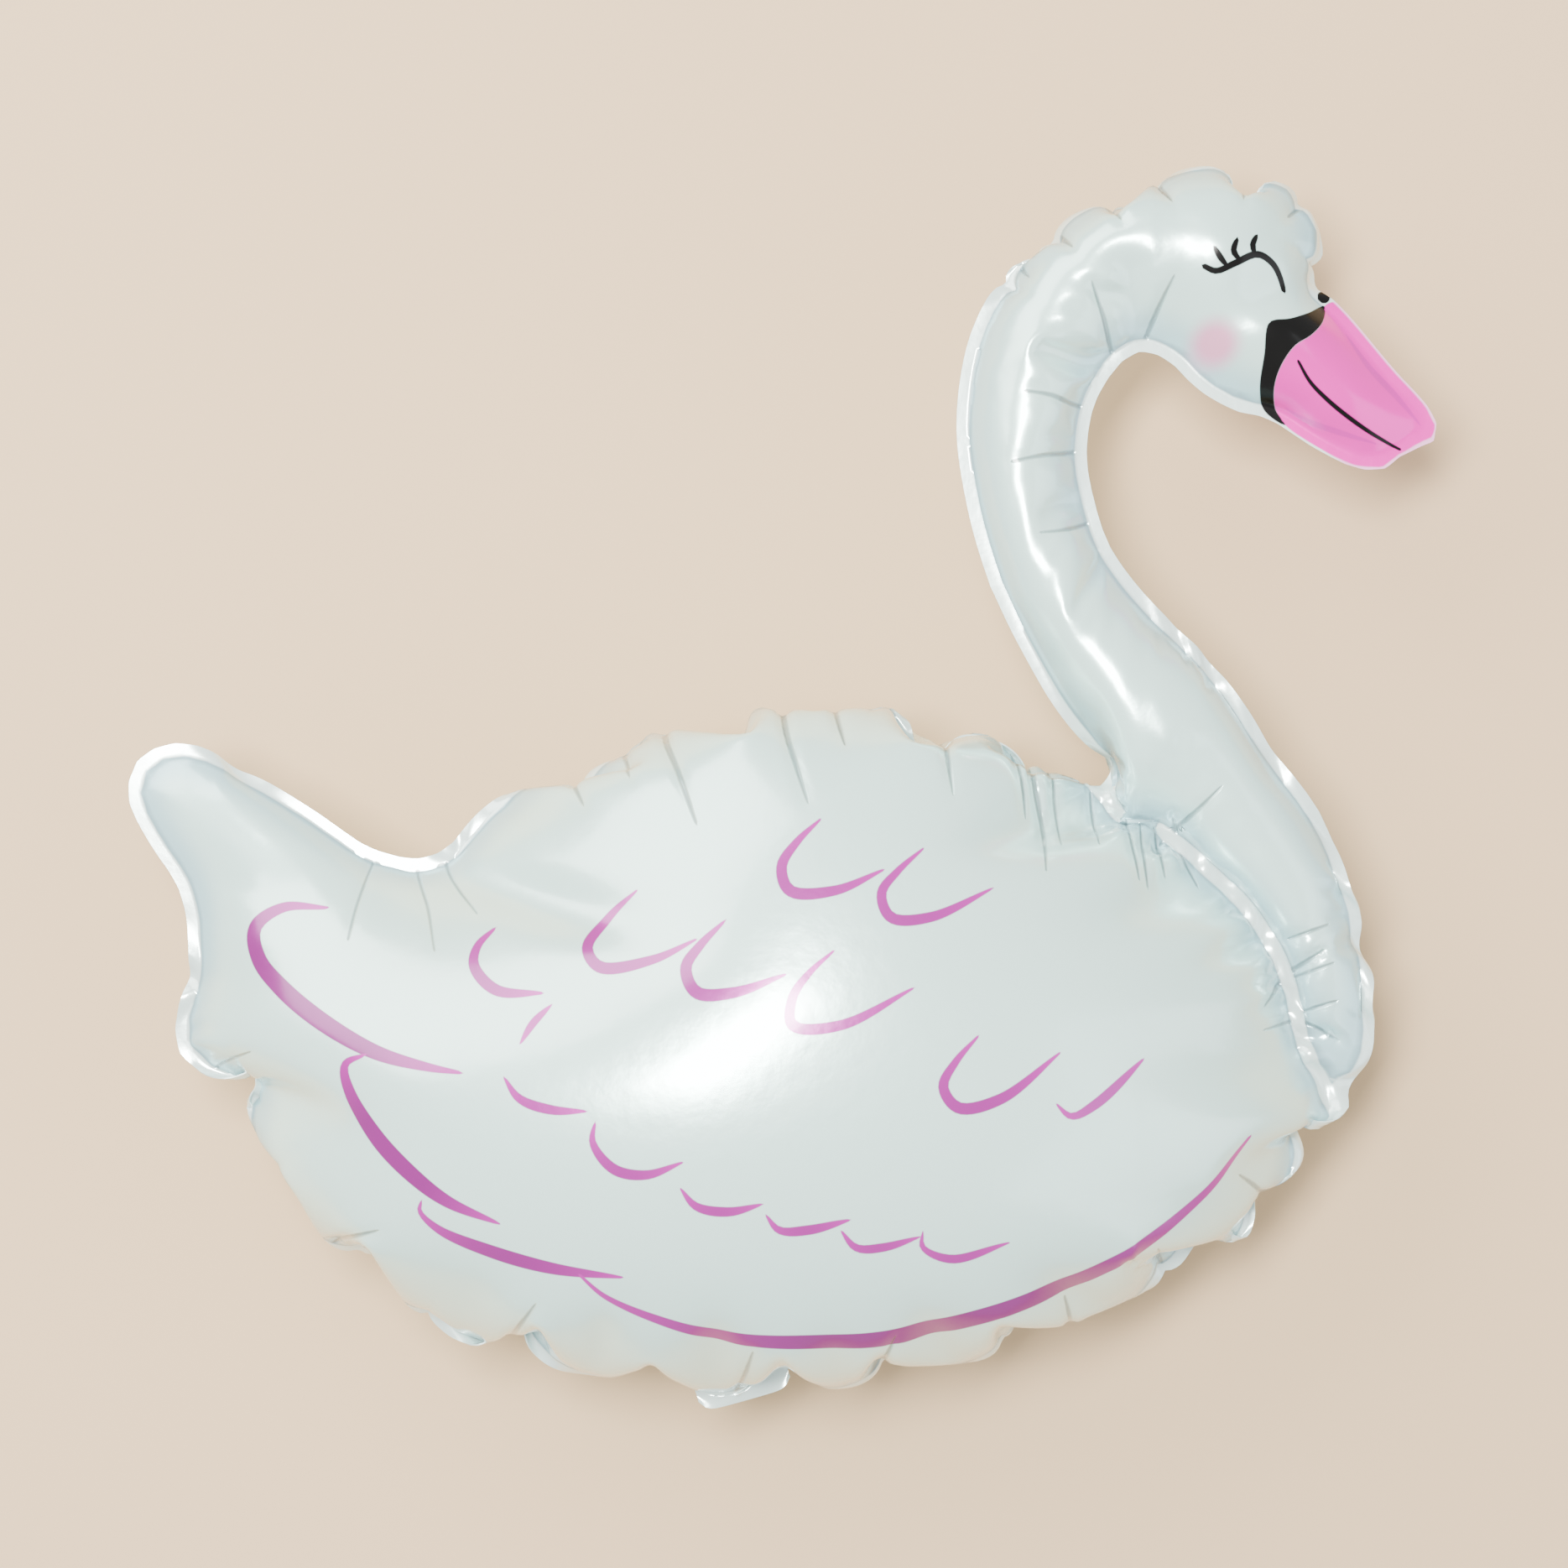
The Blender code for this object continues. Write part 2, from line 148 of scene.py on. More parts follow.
def distance_to(points, line, closed):
    """Distance of each point from a polyline, and the number of the nearest stretch."""
    starts = line if closed else line[:-1]
    ends = np.roll(line, -1, axis=0) if closed else line[1:]
    run = ends - starts
    gaps, numbers = [], []
    for part in np.array_split(points, max(1, len(points) * len(starts) // MOST_PAIRS_AT_ONCE)):
        offset = part[:, None, :] - starts[None]
        share = np.clip((offset * run).sum(2) / (run * run).sum(1), 0, 1)
        gap = norm(offset - share[..., None] * run, axis=2)
        numbers.append(gap.argmin(1))
        gaps.append(gap[np.arange(len(part)), numbers[-1]])
    return np.concatenate(gaps), np.concatenate(numbers)


def inside_loop(points, loop):
    """True for the points that lie inside a closed polyline."""
    ends = np.roll(loop, -1, axis=0)
    x, y = points[:, 0, None], points[:, 1, None]
    spans = (loop[:, 1] > y) != (ends[:, 1] > y)
    rise = ends[:, 1] - loop[:, 1]
    rise[rise == 0] = 1e-12
    crossing = loop[:, 0] + (y - loop[:, 1]) * (ends[:, 0] - loop[:, 0]) / rise
    return (spans & (x < crossing)).sum(1) % 2 == 1


SLIVER_AREA = 1e-10
CLEAR_OF_LOOP = 0.62


def triangulated(points, loop_edges, outer):
    """Delaunay triangles inside the outer loop, counter-clockwise, by the input points' numbers."""
    found = delaunay_2d_cdt([tuple(p) for p in points], loop_edges, [list(range(outer))], 1, 1e-8)
    number = np.array([origin[0] if origin else -1 for origin in found[3]])
    triangles = number[np.array(found[2])]
    assert (number >= 0).all(), "the net has a crossing"
    a, b, c = (points[triangles[:, corner]] for corner in range(3))
    area = np.cross(b - a, c - a)
    triangles[area < 0] = triangles[area < 0, ::-1]
    return triangles[np.abs(area) > SLIVER_AREA]


def net_over(loop, pitch):
    """A net of triangles over a closed loop: its points, the loop's first, and its triangles."""
    low, high = loop.min(0), loop.max(0)
    rows = []
    for number, y in enumerate(np.arange(low[1], high[1], pitch * math.sqrt(3) / 2)):
        x = np.arange(low[0] + (number % 2) * pitch / 2, high[0], pitch)
        rows.append(np.column_stack([x, np.full_like(x, y)]))
    lattice = np.vstack(rows)
    lattice = lattice[inside_loop(lattice, loop)]
    lattice = lattice[distance_to(lattice, loop, True)[0] > CLEAR_OF_LOOP * pitch]
    points = np.vstack([loop, lattice])
    return points, triangulated(points, [], len(loop))


def stiffness_of(points, triangles):
    """The net's cotangent stiffness matrix and each point's share of its area."""
    corners = points[triangles]
    matrix = np.zeros((len(points), len(points)))
    for corner in range(3):
        a, b = triangles[:, (corner + 1) % 3], triangles[:, (corner + 2) % 3]
        arm = corners[:, (corner + 1) % 3] - corners[:, corner]
        other = corners[:, (corner + 2) % 3] - corners[:, corner]
        weight = (arm * other).sum(1) / np.abs(np.cross(arm, other)) / 2
        np.add.at(matrix, (a, b), -weight)
        np.add.at(matrix, (b, a), -weight)
        np.add.at(matrix, (a, a), weight)
        np.add.at(matrix, (b, b), weight)
    area = np.abs(np.cross(corners[:, 1] - corners[:, 0], corners[:, 2] - corners[:, 0])) / 2
    return matrix, np.bincount(triangles.ravel(), np.repeat(area / 3, 3), len(points))


def averaged(values, loop, reach):
    """Values round a loop, each the mean over this reach on both sides."""
    step = norm(np.roll(loop, -1, axis=0) - loop, axis=1).mean()
    sides = max(1, round(reach / step))
    window = np.hanning(2 * sides + 3)[1:-1]
    wrapped = np.concatenate([values[-sides:], values, values[:sides]])
    return np.convolve(wrapped, window / window.sum(), "valid")


FINE_STEP = 0.001
TOUCHING = 0.00002
outline = smooth_curve(metres(HEAD_SIDE + BODY_SIDE), True)
weld = evenly(smooth_curve(metres(NECK_WELD), False), FINE_STEP, False)
fine_outline = evenly(outline, FINE_STEP, True)
foot = norm(fine_outline - metres(BREAST_FOOT), axis=1).argmin()
notch = norm(fine_outline - metres(NECK_NOTCH), axis=1).argmin()
hem_inside = fine_outline + inward_normals(fine_outline) * HEM_WIDTH
weld_tangent = np.gradient(weld, axis=0)
weld_tangent /= norm(weld_tangent, axis=1)[:, None]
weld_side = np.column_stack([weld_tangent[:, 1], -weld_tangent[:, 0]]) * NECK_WELD_WIDTH / 2


def seam_round(hem_stretch, weld_stretch):
    """One chamber's closed seam: a stretch of the hem's inner edge and one side of the neck weld."""
    line = np.vstack([hem_stretch, weld_stretch])
    clear = distance_to(line, fine_outline, True)[0] > HEM_WIDTH - TOUCHING
    clear &= distance_to(line, weld, False)[0] > NECK_WELD_WIDTH / 2 - TOUCHING
    return evenly(line[clear], SEAM_STEP, True)


hem_inside = np.roll(hem_inside, -notch, axis=0)
foot = (foot - notch) % len(hem_inside)
neck_seam = seam_round(hem_inside[:foot], (weld - weld_side)[::-1])
body_seam = seam_round(hem_inside[foot:], weld + weld_side)

BLOW = 0.9
TURN_REACH = 0.014
SPARE_REACH = 0.028
LIMIT_REACH = 0.006
NECK_BEND, NECK_SPARE, NECK_MOST = 0.045, 0.92, 1.7
BODY_BEND, BODY_LEAST = 0.03, 0.35
LESS_AT_BILL, LESS_AT_TAIL, LESS_AT_WELD = 0.5, 0.75, 0.5
AT_WELD = 0.006


def chamber(seam, bends_both_ways):
    """One chamber's flat cut: its net laid flat, the same net's blown-up places, and its triangles."""
    edge = len(seam)
    points, triangles = net_over(seam, NET_PITCH)
    matrix, share = stiffness_of(points, triangles)
    lift = np.zeros(len(points))
    lift[edge:] = np.linalg.solve(matrix[edge:, edge:], share[edge:])
    length = norm(round_steps(seam), axis=1) / 2
    radius = np.abs((matrix @ lift)[:edge] - share[:edge]) / length
    normals = inward_normals(seam)
    turn = -np.cross(np.roll(normals, 1, axis=0), np.roll(normals, -1, axis=0)) / (2 * length)
    turn = averaged(turn, seam, TURN_REACH)
    x, y = hundredths(seam)
    if bends_both_ways:
        lean = np.clip(1 + NECK_BEND * turn, 0, NECK_MOST)
        lean *= NECK_SPARE - LESS_AT_BILL * ramp(x, 87, 93) * (y > 68)
    else:
        lean = np.clip(1 + np.minimum(BODY_BEND * turn, 0), BODY_LEAST, 1)
        lean *= 1 - LESS_AT_TAIL * ramp(x, 46, 18) * ramp(y, 24, 30)
        lean *= 1 - LESS_AT_WELD * (distance_to(seam, weld, False)[0] < AT_WELD)
    spare = averaged((math.pi / 2 - 1) * radius * lean * BLOW, seam, SPARE_REACH)
    spare = np.minimum(spare, (math.pi - 2) * averaged(radius, seam, LIMIT_REACH))
    flat_seam = seam - normals * spare[:, None]
    flat, flat_triangles = net_over(flat_seam, NET_PITCH)
    matrix, share = stiffness_of(flat, flat_triangles)
    free = slice(edge, None)
    inner = matrix[free, free]
    shift = np.zeros_like(flat)
    shift[:edge] = seam - flat_seam
    shift[free] = np.linalg.solve(inner, -matrix[free, :edge] @ shift[:edge])
    rise = np.zeros(len(flat))
    rise[free] = np.sqrt(2 * np.maximum(np.linalg.solve(inner, share[free]), 0)) * 2 / math.pi
    return flat, np.column_stack([flat + shift, rise]), flat_triangles


hem_edge = evenly(outline, SEAM_STEP, True)
neck_flat, neck_blown, neck_triangles = chamber(neck_seam, True)
body_flat, body_blown, body_triangles = chamber(body_seam, False)

# One sheet of film: the welded band first, its corners shared by both chambers' nets
edge_count, neck_count, body_count = len(hem_edge), len(neck_seam), len(body_seam)
body_start = edge_count + neck_count
band_points = np.vstack([hem_edge, neck_seam, body_seam])
rings = []
for start, count in ((edge_count, neck_count), (body_start, body_count)):
    rings += [(start + k, start + (k + 1) % count) for k in range(count)]
band = triangulated(band_points, rings, edge_count)
middles = band_points[band].mean(1)
band = band[~inside_loop(middles, neck_seam) & ~inside_loop(middles, body_seam)]
neck_numbers = np.concatenate([
    edge_count + np.arange(neck_count), len(band_points) + np.arange(len(neck_flat) - neck_count)
])
body_numbers = np.concatenate([
    body_start + np.arange(body_count),
    len(band_points) + len(neck_flat) - neck_count + np.arange(len(body_flat) - body_count),
])
band_places = np.column_stack([band_points, np.zeros(len(band_points))])
sheet = np.vstack([band_places, neck_blown[neck_count:], body_blown[body_count:]])


def side_steps(points, triangles):
    """Each triangle's three sides, as steps from each corner to the next."""
    corners = points[triangles]
    return np.roll(corners, -1, axis=1) - corners


BAND_REACH = 0.008
NECK_BAND_STRETCH = -0.03


def band_sides():
    """The band's side lengths when it was flat: longer along the seams than they end up."""
    stretch = np.ones(len(band_points))
    along = np.zeros_like(band_points)
    for start, seam, flat in ((edge_count, neck_seam, neck_flat), (body_start, body_seam, body_flat)):
        count = len(seam)
        flat_step = norm(round_steps(flat[:count]), axis=1)
        step = round_steps(seam)
        plain_step = norm(step, axis=1)
        extra = np.maximum(averaged(flat_step / plain_step, seam, BAND_REACH), 1) - 1
        if count == neck_count:
            x, y = hundredths(seam)
            held = ~(((y > 86) & (x > 68)) | ((y < 66) & (x > 74)) | (y < 47))
            extra[held] = NECK_BAND_STRETCH
        stretch[start:start + count] = 1 + extra
        along[start:start + count] = step / plain_step[:, None]
    seams = band_points[edge_count:]
    nearest = norm(band_points[:edge_count, None] - seams[None], axis=2).argmin(1) + edge_count
    stretch[:edge_count] = stretch[nearest]
    along[:edge_count] = along[nearest]
    step = side_steps(band_points, band)
    extra = (stretch[band] + stretch[np.roll(band, -1, axis=1)]) / 2
    run = (step * along[band]).sum(2)
    return np.sqrt((step ** 2).sum(2) + (extra ** 2 - 1) * run ** 2)


CROWN_SPARE, FRONT_SPARE, BREAST_SPARE = 0.6, 0.75, 0.5
CROOK_SLACK = 0.06
CROOK_RAMP = 0.004


def neck_sides():
    """The neck film's side lengths: across it as cut, along it nearly as long as the neck itself."""
    middles = neck_flat[neck_triangles].mean(1)
    gap, nearest = distance_to(middles, neck_flat[:neck_count], True)
    flat_run = inward_normals(neck_flat[:neck_count])[nearest] @ ((0, 1), (-1, 0))
    plan_run = inward_normals(neck_seam)[nearest] @ ((0, 1), (-1, 0))
    x, y = hundredths(neck_seam[nearest])
    middle_x, middle_y = hundredths(neck_blown[neck_triangles].mean(1))
    natural = CROWN_SPARE * (ramp(middle_y, 80, 89) * ramp(middle_x, 64, 71))
    natural[(y < 66) & (x > 74)] = FRONT_SPARE
    natural[(y < 47) & (x < 90)] = BREAST_SPARE
    slack = np.zeros(len(middles))
    crook = (x > 72.5) & (x < 78) & (y > 62) & (y < 81)
    slack[crook] = CROOK_SLACK * np.minimum(gap[crook] / CROOK_RAMP, 1)
    flat_step = side_steps(neck_flat, neck_triangles)
    plan_step = side_steps(neck_blown[:, :2], neck_triangles)
    along = (flat_step * flat_run[:, None]).sum(2)
    plan_along = (plan_step * plan_run[:, None]).sum(2) * (1 + slack[:, None])
    mixed = natural[:, None] * along + (1 - natural[:, None]) * plan_along
    return np.sqrt((flat_step ** 2).sum(2) - along ** 2 + mixed ** 2)


sides = np.vstack([band_sides(), neck_sides(), norm(side_steps(body_flat, body_triangles), axis=2)])
triangles = np.vstack([band, neck_numbers[neck_triangles], body_numbers[body_triangles]])
is_film = np.arange(len(triangles)) >= len(band)
AIRWAY_MIDDLE = 0.0141
airway = weld[round(AIRWAY_MIDDLE / FINE_STEP)]
for start, seam in ((edge_count, neck_seam), (body_start, body_seam)):
    open_point = start + norm(seam - airway, axis=1).argmin()
    is_film |= (triangles == open_point).any(1)


def lower_numbers(triangles, is_film, count):
    """For each point of the upper film, the number of its fellow in the lower film: itself on a weld."""
    welded = np.zeros(count, bool)
    welded[triangles[~is_film]] = True
    lower = np.arange(count)
    lower[~welded] = count + np.arange((~welded).sum())
    return lower


def mirrored(sheet, lower, below):
    """The upper film's points, then those of the lower film."""
    places = np.empty((max(lower.max() + 1, len(sheet)), 3))
    places[lower] = below
    places[:len(sheet)] = sheet
    return places


lower = lower_numbers(triangles, is_film, len(sheet))
plan = sheet * (1, 1, 0)
chains = [np.arange(edge_count), edge_count + np.arange(neck_count), body_start + np.arange(body_count)]

BACK_FOLDS = (
    (33.8, 46.8), (40.8, 49.5), (45.2, 50.8), (50.0, 51.1), (56.4, 51.6), (62.0, 50.3), (69.0, 48.7),
)
BELLY_FOLDS = (
    (86.0, 15.5), (78.6, 10.5), (66.7, 4.3), (57.4, 3.1), (47.3, 1.6), (38.5, 2.6), (30.3, 6.6),
    (24.0, 8.4), (18.0, 12.8), (12.6, 18.6), (7.6, 24.6),
)
CROWN_FOLDS = (
    (66.0, 86.2), (71.0, 88.8), (74.9, 91.1), (78.6, 92.5), (85.1, 92.6), (89.4, 91.0), (90.9, 87.2),
)
NECK_CREASES = (
    ((72.4, 89.5), (74.1, 82.6)), ((65.6, 76.2), (70.2, 75.3)),
    ((63.8, 68.5), (69.7, 69.7)), ((67.0, 59.8), (72.1, 61.7)), ((70.9, 51.9), (76.6, 54.0)),
)
SMALL_FOLD, SEEN_FOLD = 0.008, 0.016
FOLD_SHIFT, FOLD_SIZES, CLEAR_OF_SEEN = 0.25, (0.35, 0.75), 0.6
FOLD_LEAN = 0.8
NECK_CREASE_DEPTH, NECK_CREASE_SHARE = 0.0022, 0.6


def folds_along(chain, fixed, spacing, depth, seed):
    """Start and end of each fold that runs in from a seam, with its depth: seen ones, then small ones."""
    random = np.random.default_rng(seed)
    line = plan[chain, :2]
    normals = inward_normals(line)
    run = np.cumsum(norm(line - np.roll(line, 1, axis=0), axis=1))
    count = round(run[-1] / spacing)
    places = (np.arange(count) + random.uniform(-FOLD_SHIFT, FOLD_SHIFT, count)) * run[-1] / count
    sizes = random.uniform(*FOLD_SIZES, count)
    sides = random.uniform(-1, 1, count)
    numbers = np.searchsorted(run, places) % len(line)
    folds = []
    seen = metres(fixed)
    for number, size, side in zip(numbers, sizes, sides):
        if norm(seen - line[number], axis=1).min() > CLEAR_OF_SEEN * spacing:
            end = line[number] + normals[number] * SMALL_FOLD
            folds.append((line[number], end, depth * size, side * size))
    for place in seen:
        number = norm(line - place, axis=1).argmin()
        end = line[number] + normals[number] * SEEN_FOLD
        folds.append((line[number], end, depth, random.choice((-1.0, 1.0))))
    return folds


def creased(film, net, folds, creases, width, share):
    """The film pressed in a little where its folds and creases are to form."""
    lower, triangles, is_film, sides, plan, chains = net
    held = np.zeros(len(lower), bool)
    held[triangles[~is_film]] = True
    flat = plan[:, :2]
    down = np.zeros(len(lower))
    aside = np.zeros((len(lower), 3))
    for start, end, depth, side in folds:
        run = end - start
        gap = distance_to(flat, np.array([start, end]), False)[0]
        along = np.clip((flat - start) @ run / (run @ run), 0, 1)
        press = np.exp(-(gap / width) ** 2) * depth * share
        inward = run / norm(run)
        aside += press[:, None] * np.array([inward[0], inward[1], FOLD_LEAN * side])
        down = np.maximum(down, press * (1 - along))
    for start, end in creases:
        gap = distance_to(flat, metres((start, end)), False)[0]
        press = np.exp(-(gap / (NECK_CREASE_SHARE * width)) ** 2) * NECK_CREASE_DEPTH * share
        down = np.maximum(down, press)
    film = film.copy()
    film[:len(lower)][held] += aside[held]
    film[:len(lower)][~held, 2] -= down[~held]
    film[lower[~held], 2] += down[~held]
    return film


film = mirrored(sheet, lower, sheet * (1, 1, -1))
BODY_GUIDE, NECK_GUIDE = 0.010, 0.008
near_neck = distance_to(band_points, neck_seam, True)[0] < distance_to(band_points, body_seam, True)[0]
guide_reach = np.where(near_neck, NECK_GUIDE, BODY_GUIDE)


def summed(numbers, values, count):
    """The sum of the values that fall on each number."""
    return np.column_stack([np.bincount(numbers, values[:, axis], count) for axis in range(values.shape[1])])


def neighbours(a, b, count):
    """How many neighbours each point has over these net sides, and a function for their mean value."""
    valence = np.bincount(a, minlength=count) + np.bincount(b, minlength=count)
    valence = np.maximum(valence, 1)[:, None]

    def mean(values):
        return (summed(a, values[b], count) + summed(b, values[a], count)) / valence

    return valence, mean


GUIDE_PULL = 0.2
SIDE_HOLD = 0.85
FULL_AIR_AT = 0.75


def blown(film, net, steps, air, glide, bending, hem_bending, band_bending, loose, flatten):
    """The film after some steps of air pressure against its own fixed side lengths."""
    lower, triangles, is_film, sides, plan, chains = net
    count = len(film)
    ends = np.stack([triangles, np.roll(triangles, -1, axis=1)], axis=2).reshape(-1, 2)
    lengths = sides.ravel()
    ends = np.sort(np.vstack([ends, lower[ends]]), axis=1)
    lengths = np.concatenate([lengths, lengths])
    key, back = np.unique(ends[:, 0] * count + ends[:, 1], return_inverse=True)
    a, b = key // count, key % count
    rest = np.bincount(back, lengths) / np.bincount(back)
    valence, mean = neighbours(a, b, count)
    skin = np.vstack([triangles[is_film], lower[triangles[is_film]][:, ::-1]])
    rest_sides = np.vstack([sides[is_film], sides[is_film]])
    half = rest_sides.sum(1) / 2
    area = np.sqrt(np.maximum(half * (half[:, None] - rest_sides).prod(1), 1e-14))
    own_area = np.bincount(skin.ravel(), np.repeat(area, 3) / 3, count)
    own_area = np.maximum(own_area, np.median(own_area[own_area > 0]) / 2)[:, None]
    on_skin = np.zeros((count, 1))
    on_skin[skin] = 1
    on_skin[np.flatnonzero(lower == np.arange(len(lower)))] = 0
    held = np.unique(triangles[~is_film])
    on_band = np.isin(a, held) & np.isin(b, held)
    band_valence, band_mean = neighbours(a[on_band], b[on_band], count)
    guides = np.arange(len(guide_reach))
    gap = norm(plan[held, None, :2] - plan[None, guides, :2], axis=2)
    pull = np.exp(-(gap / (guide_reach * loose)) ** 2 / 2)
    pull /= pull.sum(1)[:, None]
    before = film.copy()
    push = np.zeros_like(film)

    def mean_gap(values):
        return mean(values) - values

    def band_gap(values):
        return (band_mean(values) - values) * (band_valence > 1)

    def chain_gap(values):
        return (np.roll(values, 1, axis=0) + np.roll(values, -1, axis=0)) / 2 - values

    for step in range(steps):
        if step % 4 == 0:
            corners = film[skin]
            lean = np.cross(corners[:, 1] - corners[:, 0], corners[:, 2] - corners[:, 0]) / 6
            now = air[0] * (air[1] / air[0]) ** min(1, step / (FULL_AIR_AT * steps))
            push = summed(skin.ravel(), np.repeat(lean, 3, axis=0), count) / own_area * now
            shift = GUIDE_PULL * pull @ (plan[guides] - film[guides])
            shift[:, 2] = -flatten * film[held, 2]
            film[held] += shift
            before[held] += shift
        film, before = film + glide * (film - before) + push, film
        gap = film[b] - film[a]
        length = np.sqrt((gap ** 2).sum(1))
        gap *= (SIDE_HOLD * (1 - rest / length))[:, None]
        film += (summed(a, gap, count) - summed(b, gap, count)) / valence
        if step % 2 == 0:
            bend = mean_gap(film) * on_skin
            film -= bending * mean_gap(bend) * on_skin
            film -= band_bending * band_gap(band_gap(film))
            for chain in chains:
                film[chain] -= hem_bending * chain_gap(chain_gap(film[chain]))
        film[:, 2] = np.maximum(film[:, 2], -WELD_HEIGHT)
    return film


def halved(film, net):
    """The same film on a net twice as fine."""
    lower, triangles, is_film, sides, plan, chains = net
    count = len(lower)
    ends = np.sort(np.stack([triangles, np.roll(triangles, -1, axis=1)], axis=2), axis=2)
    key, back = np.unique(ends[..., 0] * count + ends[..., 1], return_inverse=True)
    back = back.reshape(len(triangles), 3) + count
    a, b = key // count, key % count
    above = np.vstack([film[:count], (film[a] + film[b]) / 2])
    below = np.vstack([film[lower], (film[lower[a]] + film[lower[b]]) / 2])
    t, m = triangles, back
    finer = np.vstack([
        np.column_stack([t[:, 0], m[:, 0], m[:, 2]]), np.column_stack([m[:, 0], t[:, 1], m[:, 1]]),
        np.column_stack([m[:, 2], m[:, 1], t[:, 2]]), np.column_stack([m[:, 1], m[:, 2], m[:, 0]]),
    ])
    finer_plan = np.vstack([plan, (plan[a] + plan[b]) / 2])
    finer_chains = []
    for chain in chains:
        following = np.roll(chain, -1)
        pair = np.sort(np.column_stack([chain, following]), axis=1)
        middle = count + np.searchsorted(key, pair[:, 0] * count + pair[:, 1])
        outer = np.roll(chain, 1), np.roll(chain, -2)
        for points, finer_points in ((plan, finer_plan), (film, above), (film[lower], below)):
            inner_sum = points[chain] + points[following]
            finer_points[middle] = (9 * inner_sum - points[outer[0]] - points[outer[1]]) / 16
        finer_chains.append(np.column_stack([chain, middle]).ravel())
    is_film = np.tile(is_film, 4)
    lower = lower_numbers(finer, is_film, len(above))
    plan = finer_plan
    film = mirrored(above, lower, below)
    return film, (lower, finer, is_film, np.tile(sides / 2, (4, 1)), plan, finer_chains)


net = (lower, triangles, is_film, sides, plan, chains)
# Each round: steps, air at first and at last, glide, stiffness of the film, the seams and the welded band,
# and how widely and how flat the plan holds the band
rounds = (
    (900, (1e-5, 1e-6), 0.985, 0.06, 0.1, 0.0, 0.05, 0.2),
    (800, (2e-6, 2.5e-7), 0.98, 0.03, 0.1, 0.006, 1.2, 0.1),
    (200, (4e-7, 8e-8), 0.97, 0.014, 0.15, 0.08, 1.2, 0.05),
)
# Before the second and the third round: how wide the folds are pressed in, and how much of their depth
presses = ((0.0028, 1.0), (0.0016, 0.4))
BODY_SPACING, BODY_DEPTH = 0.016, 0.0026
HEAD_SPACING, HEAD_DEPTH = 0.013, 0.002
folds = folds_along(chains[2], BACK_FOLDS + BELLY_FOLDS, BODY_SPACING, BODY_DEPTH, 9)
folds += folds_along(chains[1], CROWN_FOLDS, HEAD_SPACING, HEAD_DEPTH, 4)
for number, settings in enumerate(rounds):
    if number:
        film, net = halved(film, net)
        width, share = presses[number - 1]
        film = creased(film, net, folds, NECK_CREASES, width, share)
    if not (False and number):
        film = blown(film, net, *settings)
lower, triangles, is_film, sides, plan, chains = net

# Creases: the blown film's sharp valleys. The film is stiff, so what is spare at a weld folds to a point,
# and each valley runs inwards from its notch. They are pressed in where the photo shows them.
PHOTO_PIXEL = HUNDREDTH / 2.31
TAIL_TIP_PIXEL, LOWEST_PIXEL = 556.9, 682.6


def traced(pairs, left, top, zoom):
    """Places read off an enlarged part of the photo, turned into metres in the frame."""
    pixels = np.array(pairs) / zoom + (left, top)
    return np.column_stack([
        (pixels[:, 0] - TAIL_TIP_PIXEL) * PHOTO_PIXEL + TAIL_TIP_X,
        (LOWEST_PIXEL - pixels[:, 1]) * PHOTO_PIXEL + LOWEST_Y,
    ])


TAIL = (535, 555, 11.2)
FRONT = (655, 550, 11.2)
HEAD = (690, 455, 14.2545)
BODY_CREASES = (
    (TAIL, 0.55, ((1265, -10), (1310, 130), (1335, 185), (1372, 285))),
    (TAIL, 0.4, ((1100, 165), (1125, 205), (1150, 250))),
    (TAIL, 0.4, ((1200, 110), (1222, 150), (1240, 195))),
    (FRONT, 0.55, ((180, 20), (198, 160), (215, 220), (240, 300))),
    (FRONT, 0.5, ((508, 110), (508, 195), (518, 285))),
    (FRONT, 0.4, ((285, 80), (300, 145), (312, 190))),
    (FRONT, 0.55, ((670, 120), (682, 265), (696, 350), (696, 430))),
    (FRONT, 0.28, ((868, 335), (874, 380), (884, 450))),
    (FRONT, 0.28, ((925, 350), (930, 390), (940, 450))),
    (FRONT, 0.5, ((1255, 590), (1195, 635), (1135, 700))),
    (FRONT, 0.35, ((1290, 770), (1215, 735), (1130, 745))),
    (FRONT, 0.4, ((1160, 1095), (1115, 1050), (1075, 1020))),
    (FRONT, 0.4, ((965, 1270), (940, 1210), (915, 1160))),
    (FRONT, 0.35, ((760, 1350), (750, 1300), (735, 1250))),
    (FRONT, 0.5, ((350, 1480), (380, 1395), (408, 1320))),
    (FRONT, 0.45, ((90, 1500), (115, 1420), (135, 1350))),
    (TAIL, 0.5, ((965, 1350), (1010, 1280), (1065, 1200))),
    (TAIL, 0.45, ((640, 1120), (690, 1090), (760, 1065))),
    (TAIL, 0.22, ((800, 290), (815, 380), (845, 450), (866, 530))),
    (TAIL, 0.2, ((850, 300), (880, 385), (945, 460))),
    (TAIL, 0.2, ((740, 320), (722, 385), (705, 450), (694, 510))),
    (TAIL, 0.3, ((380, 800), (430, 760), (500, 730))),
)
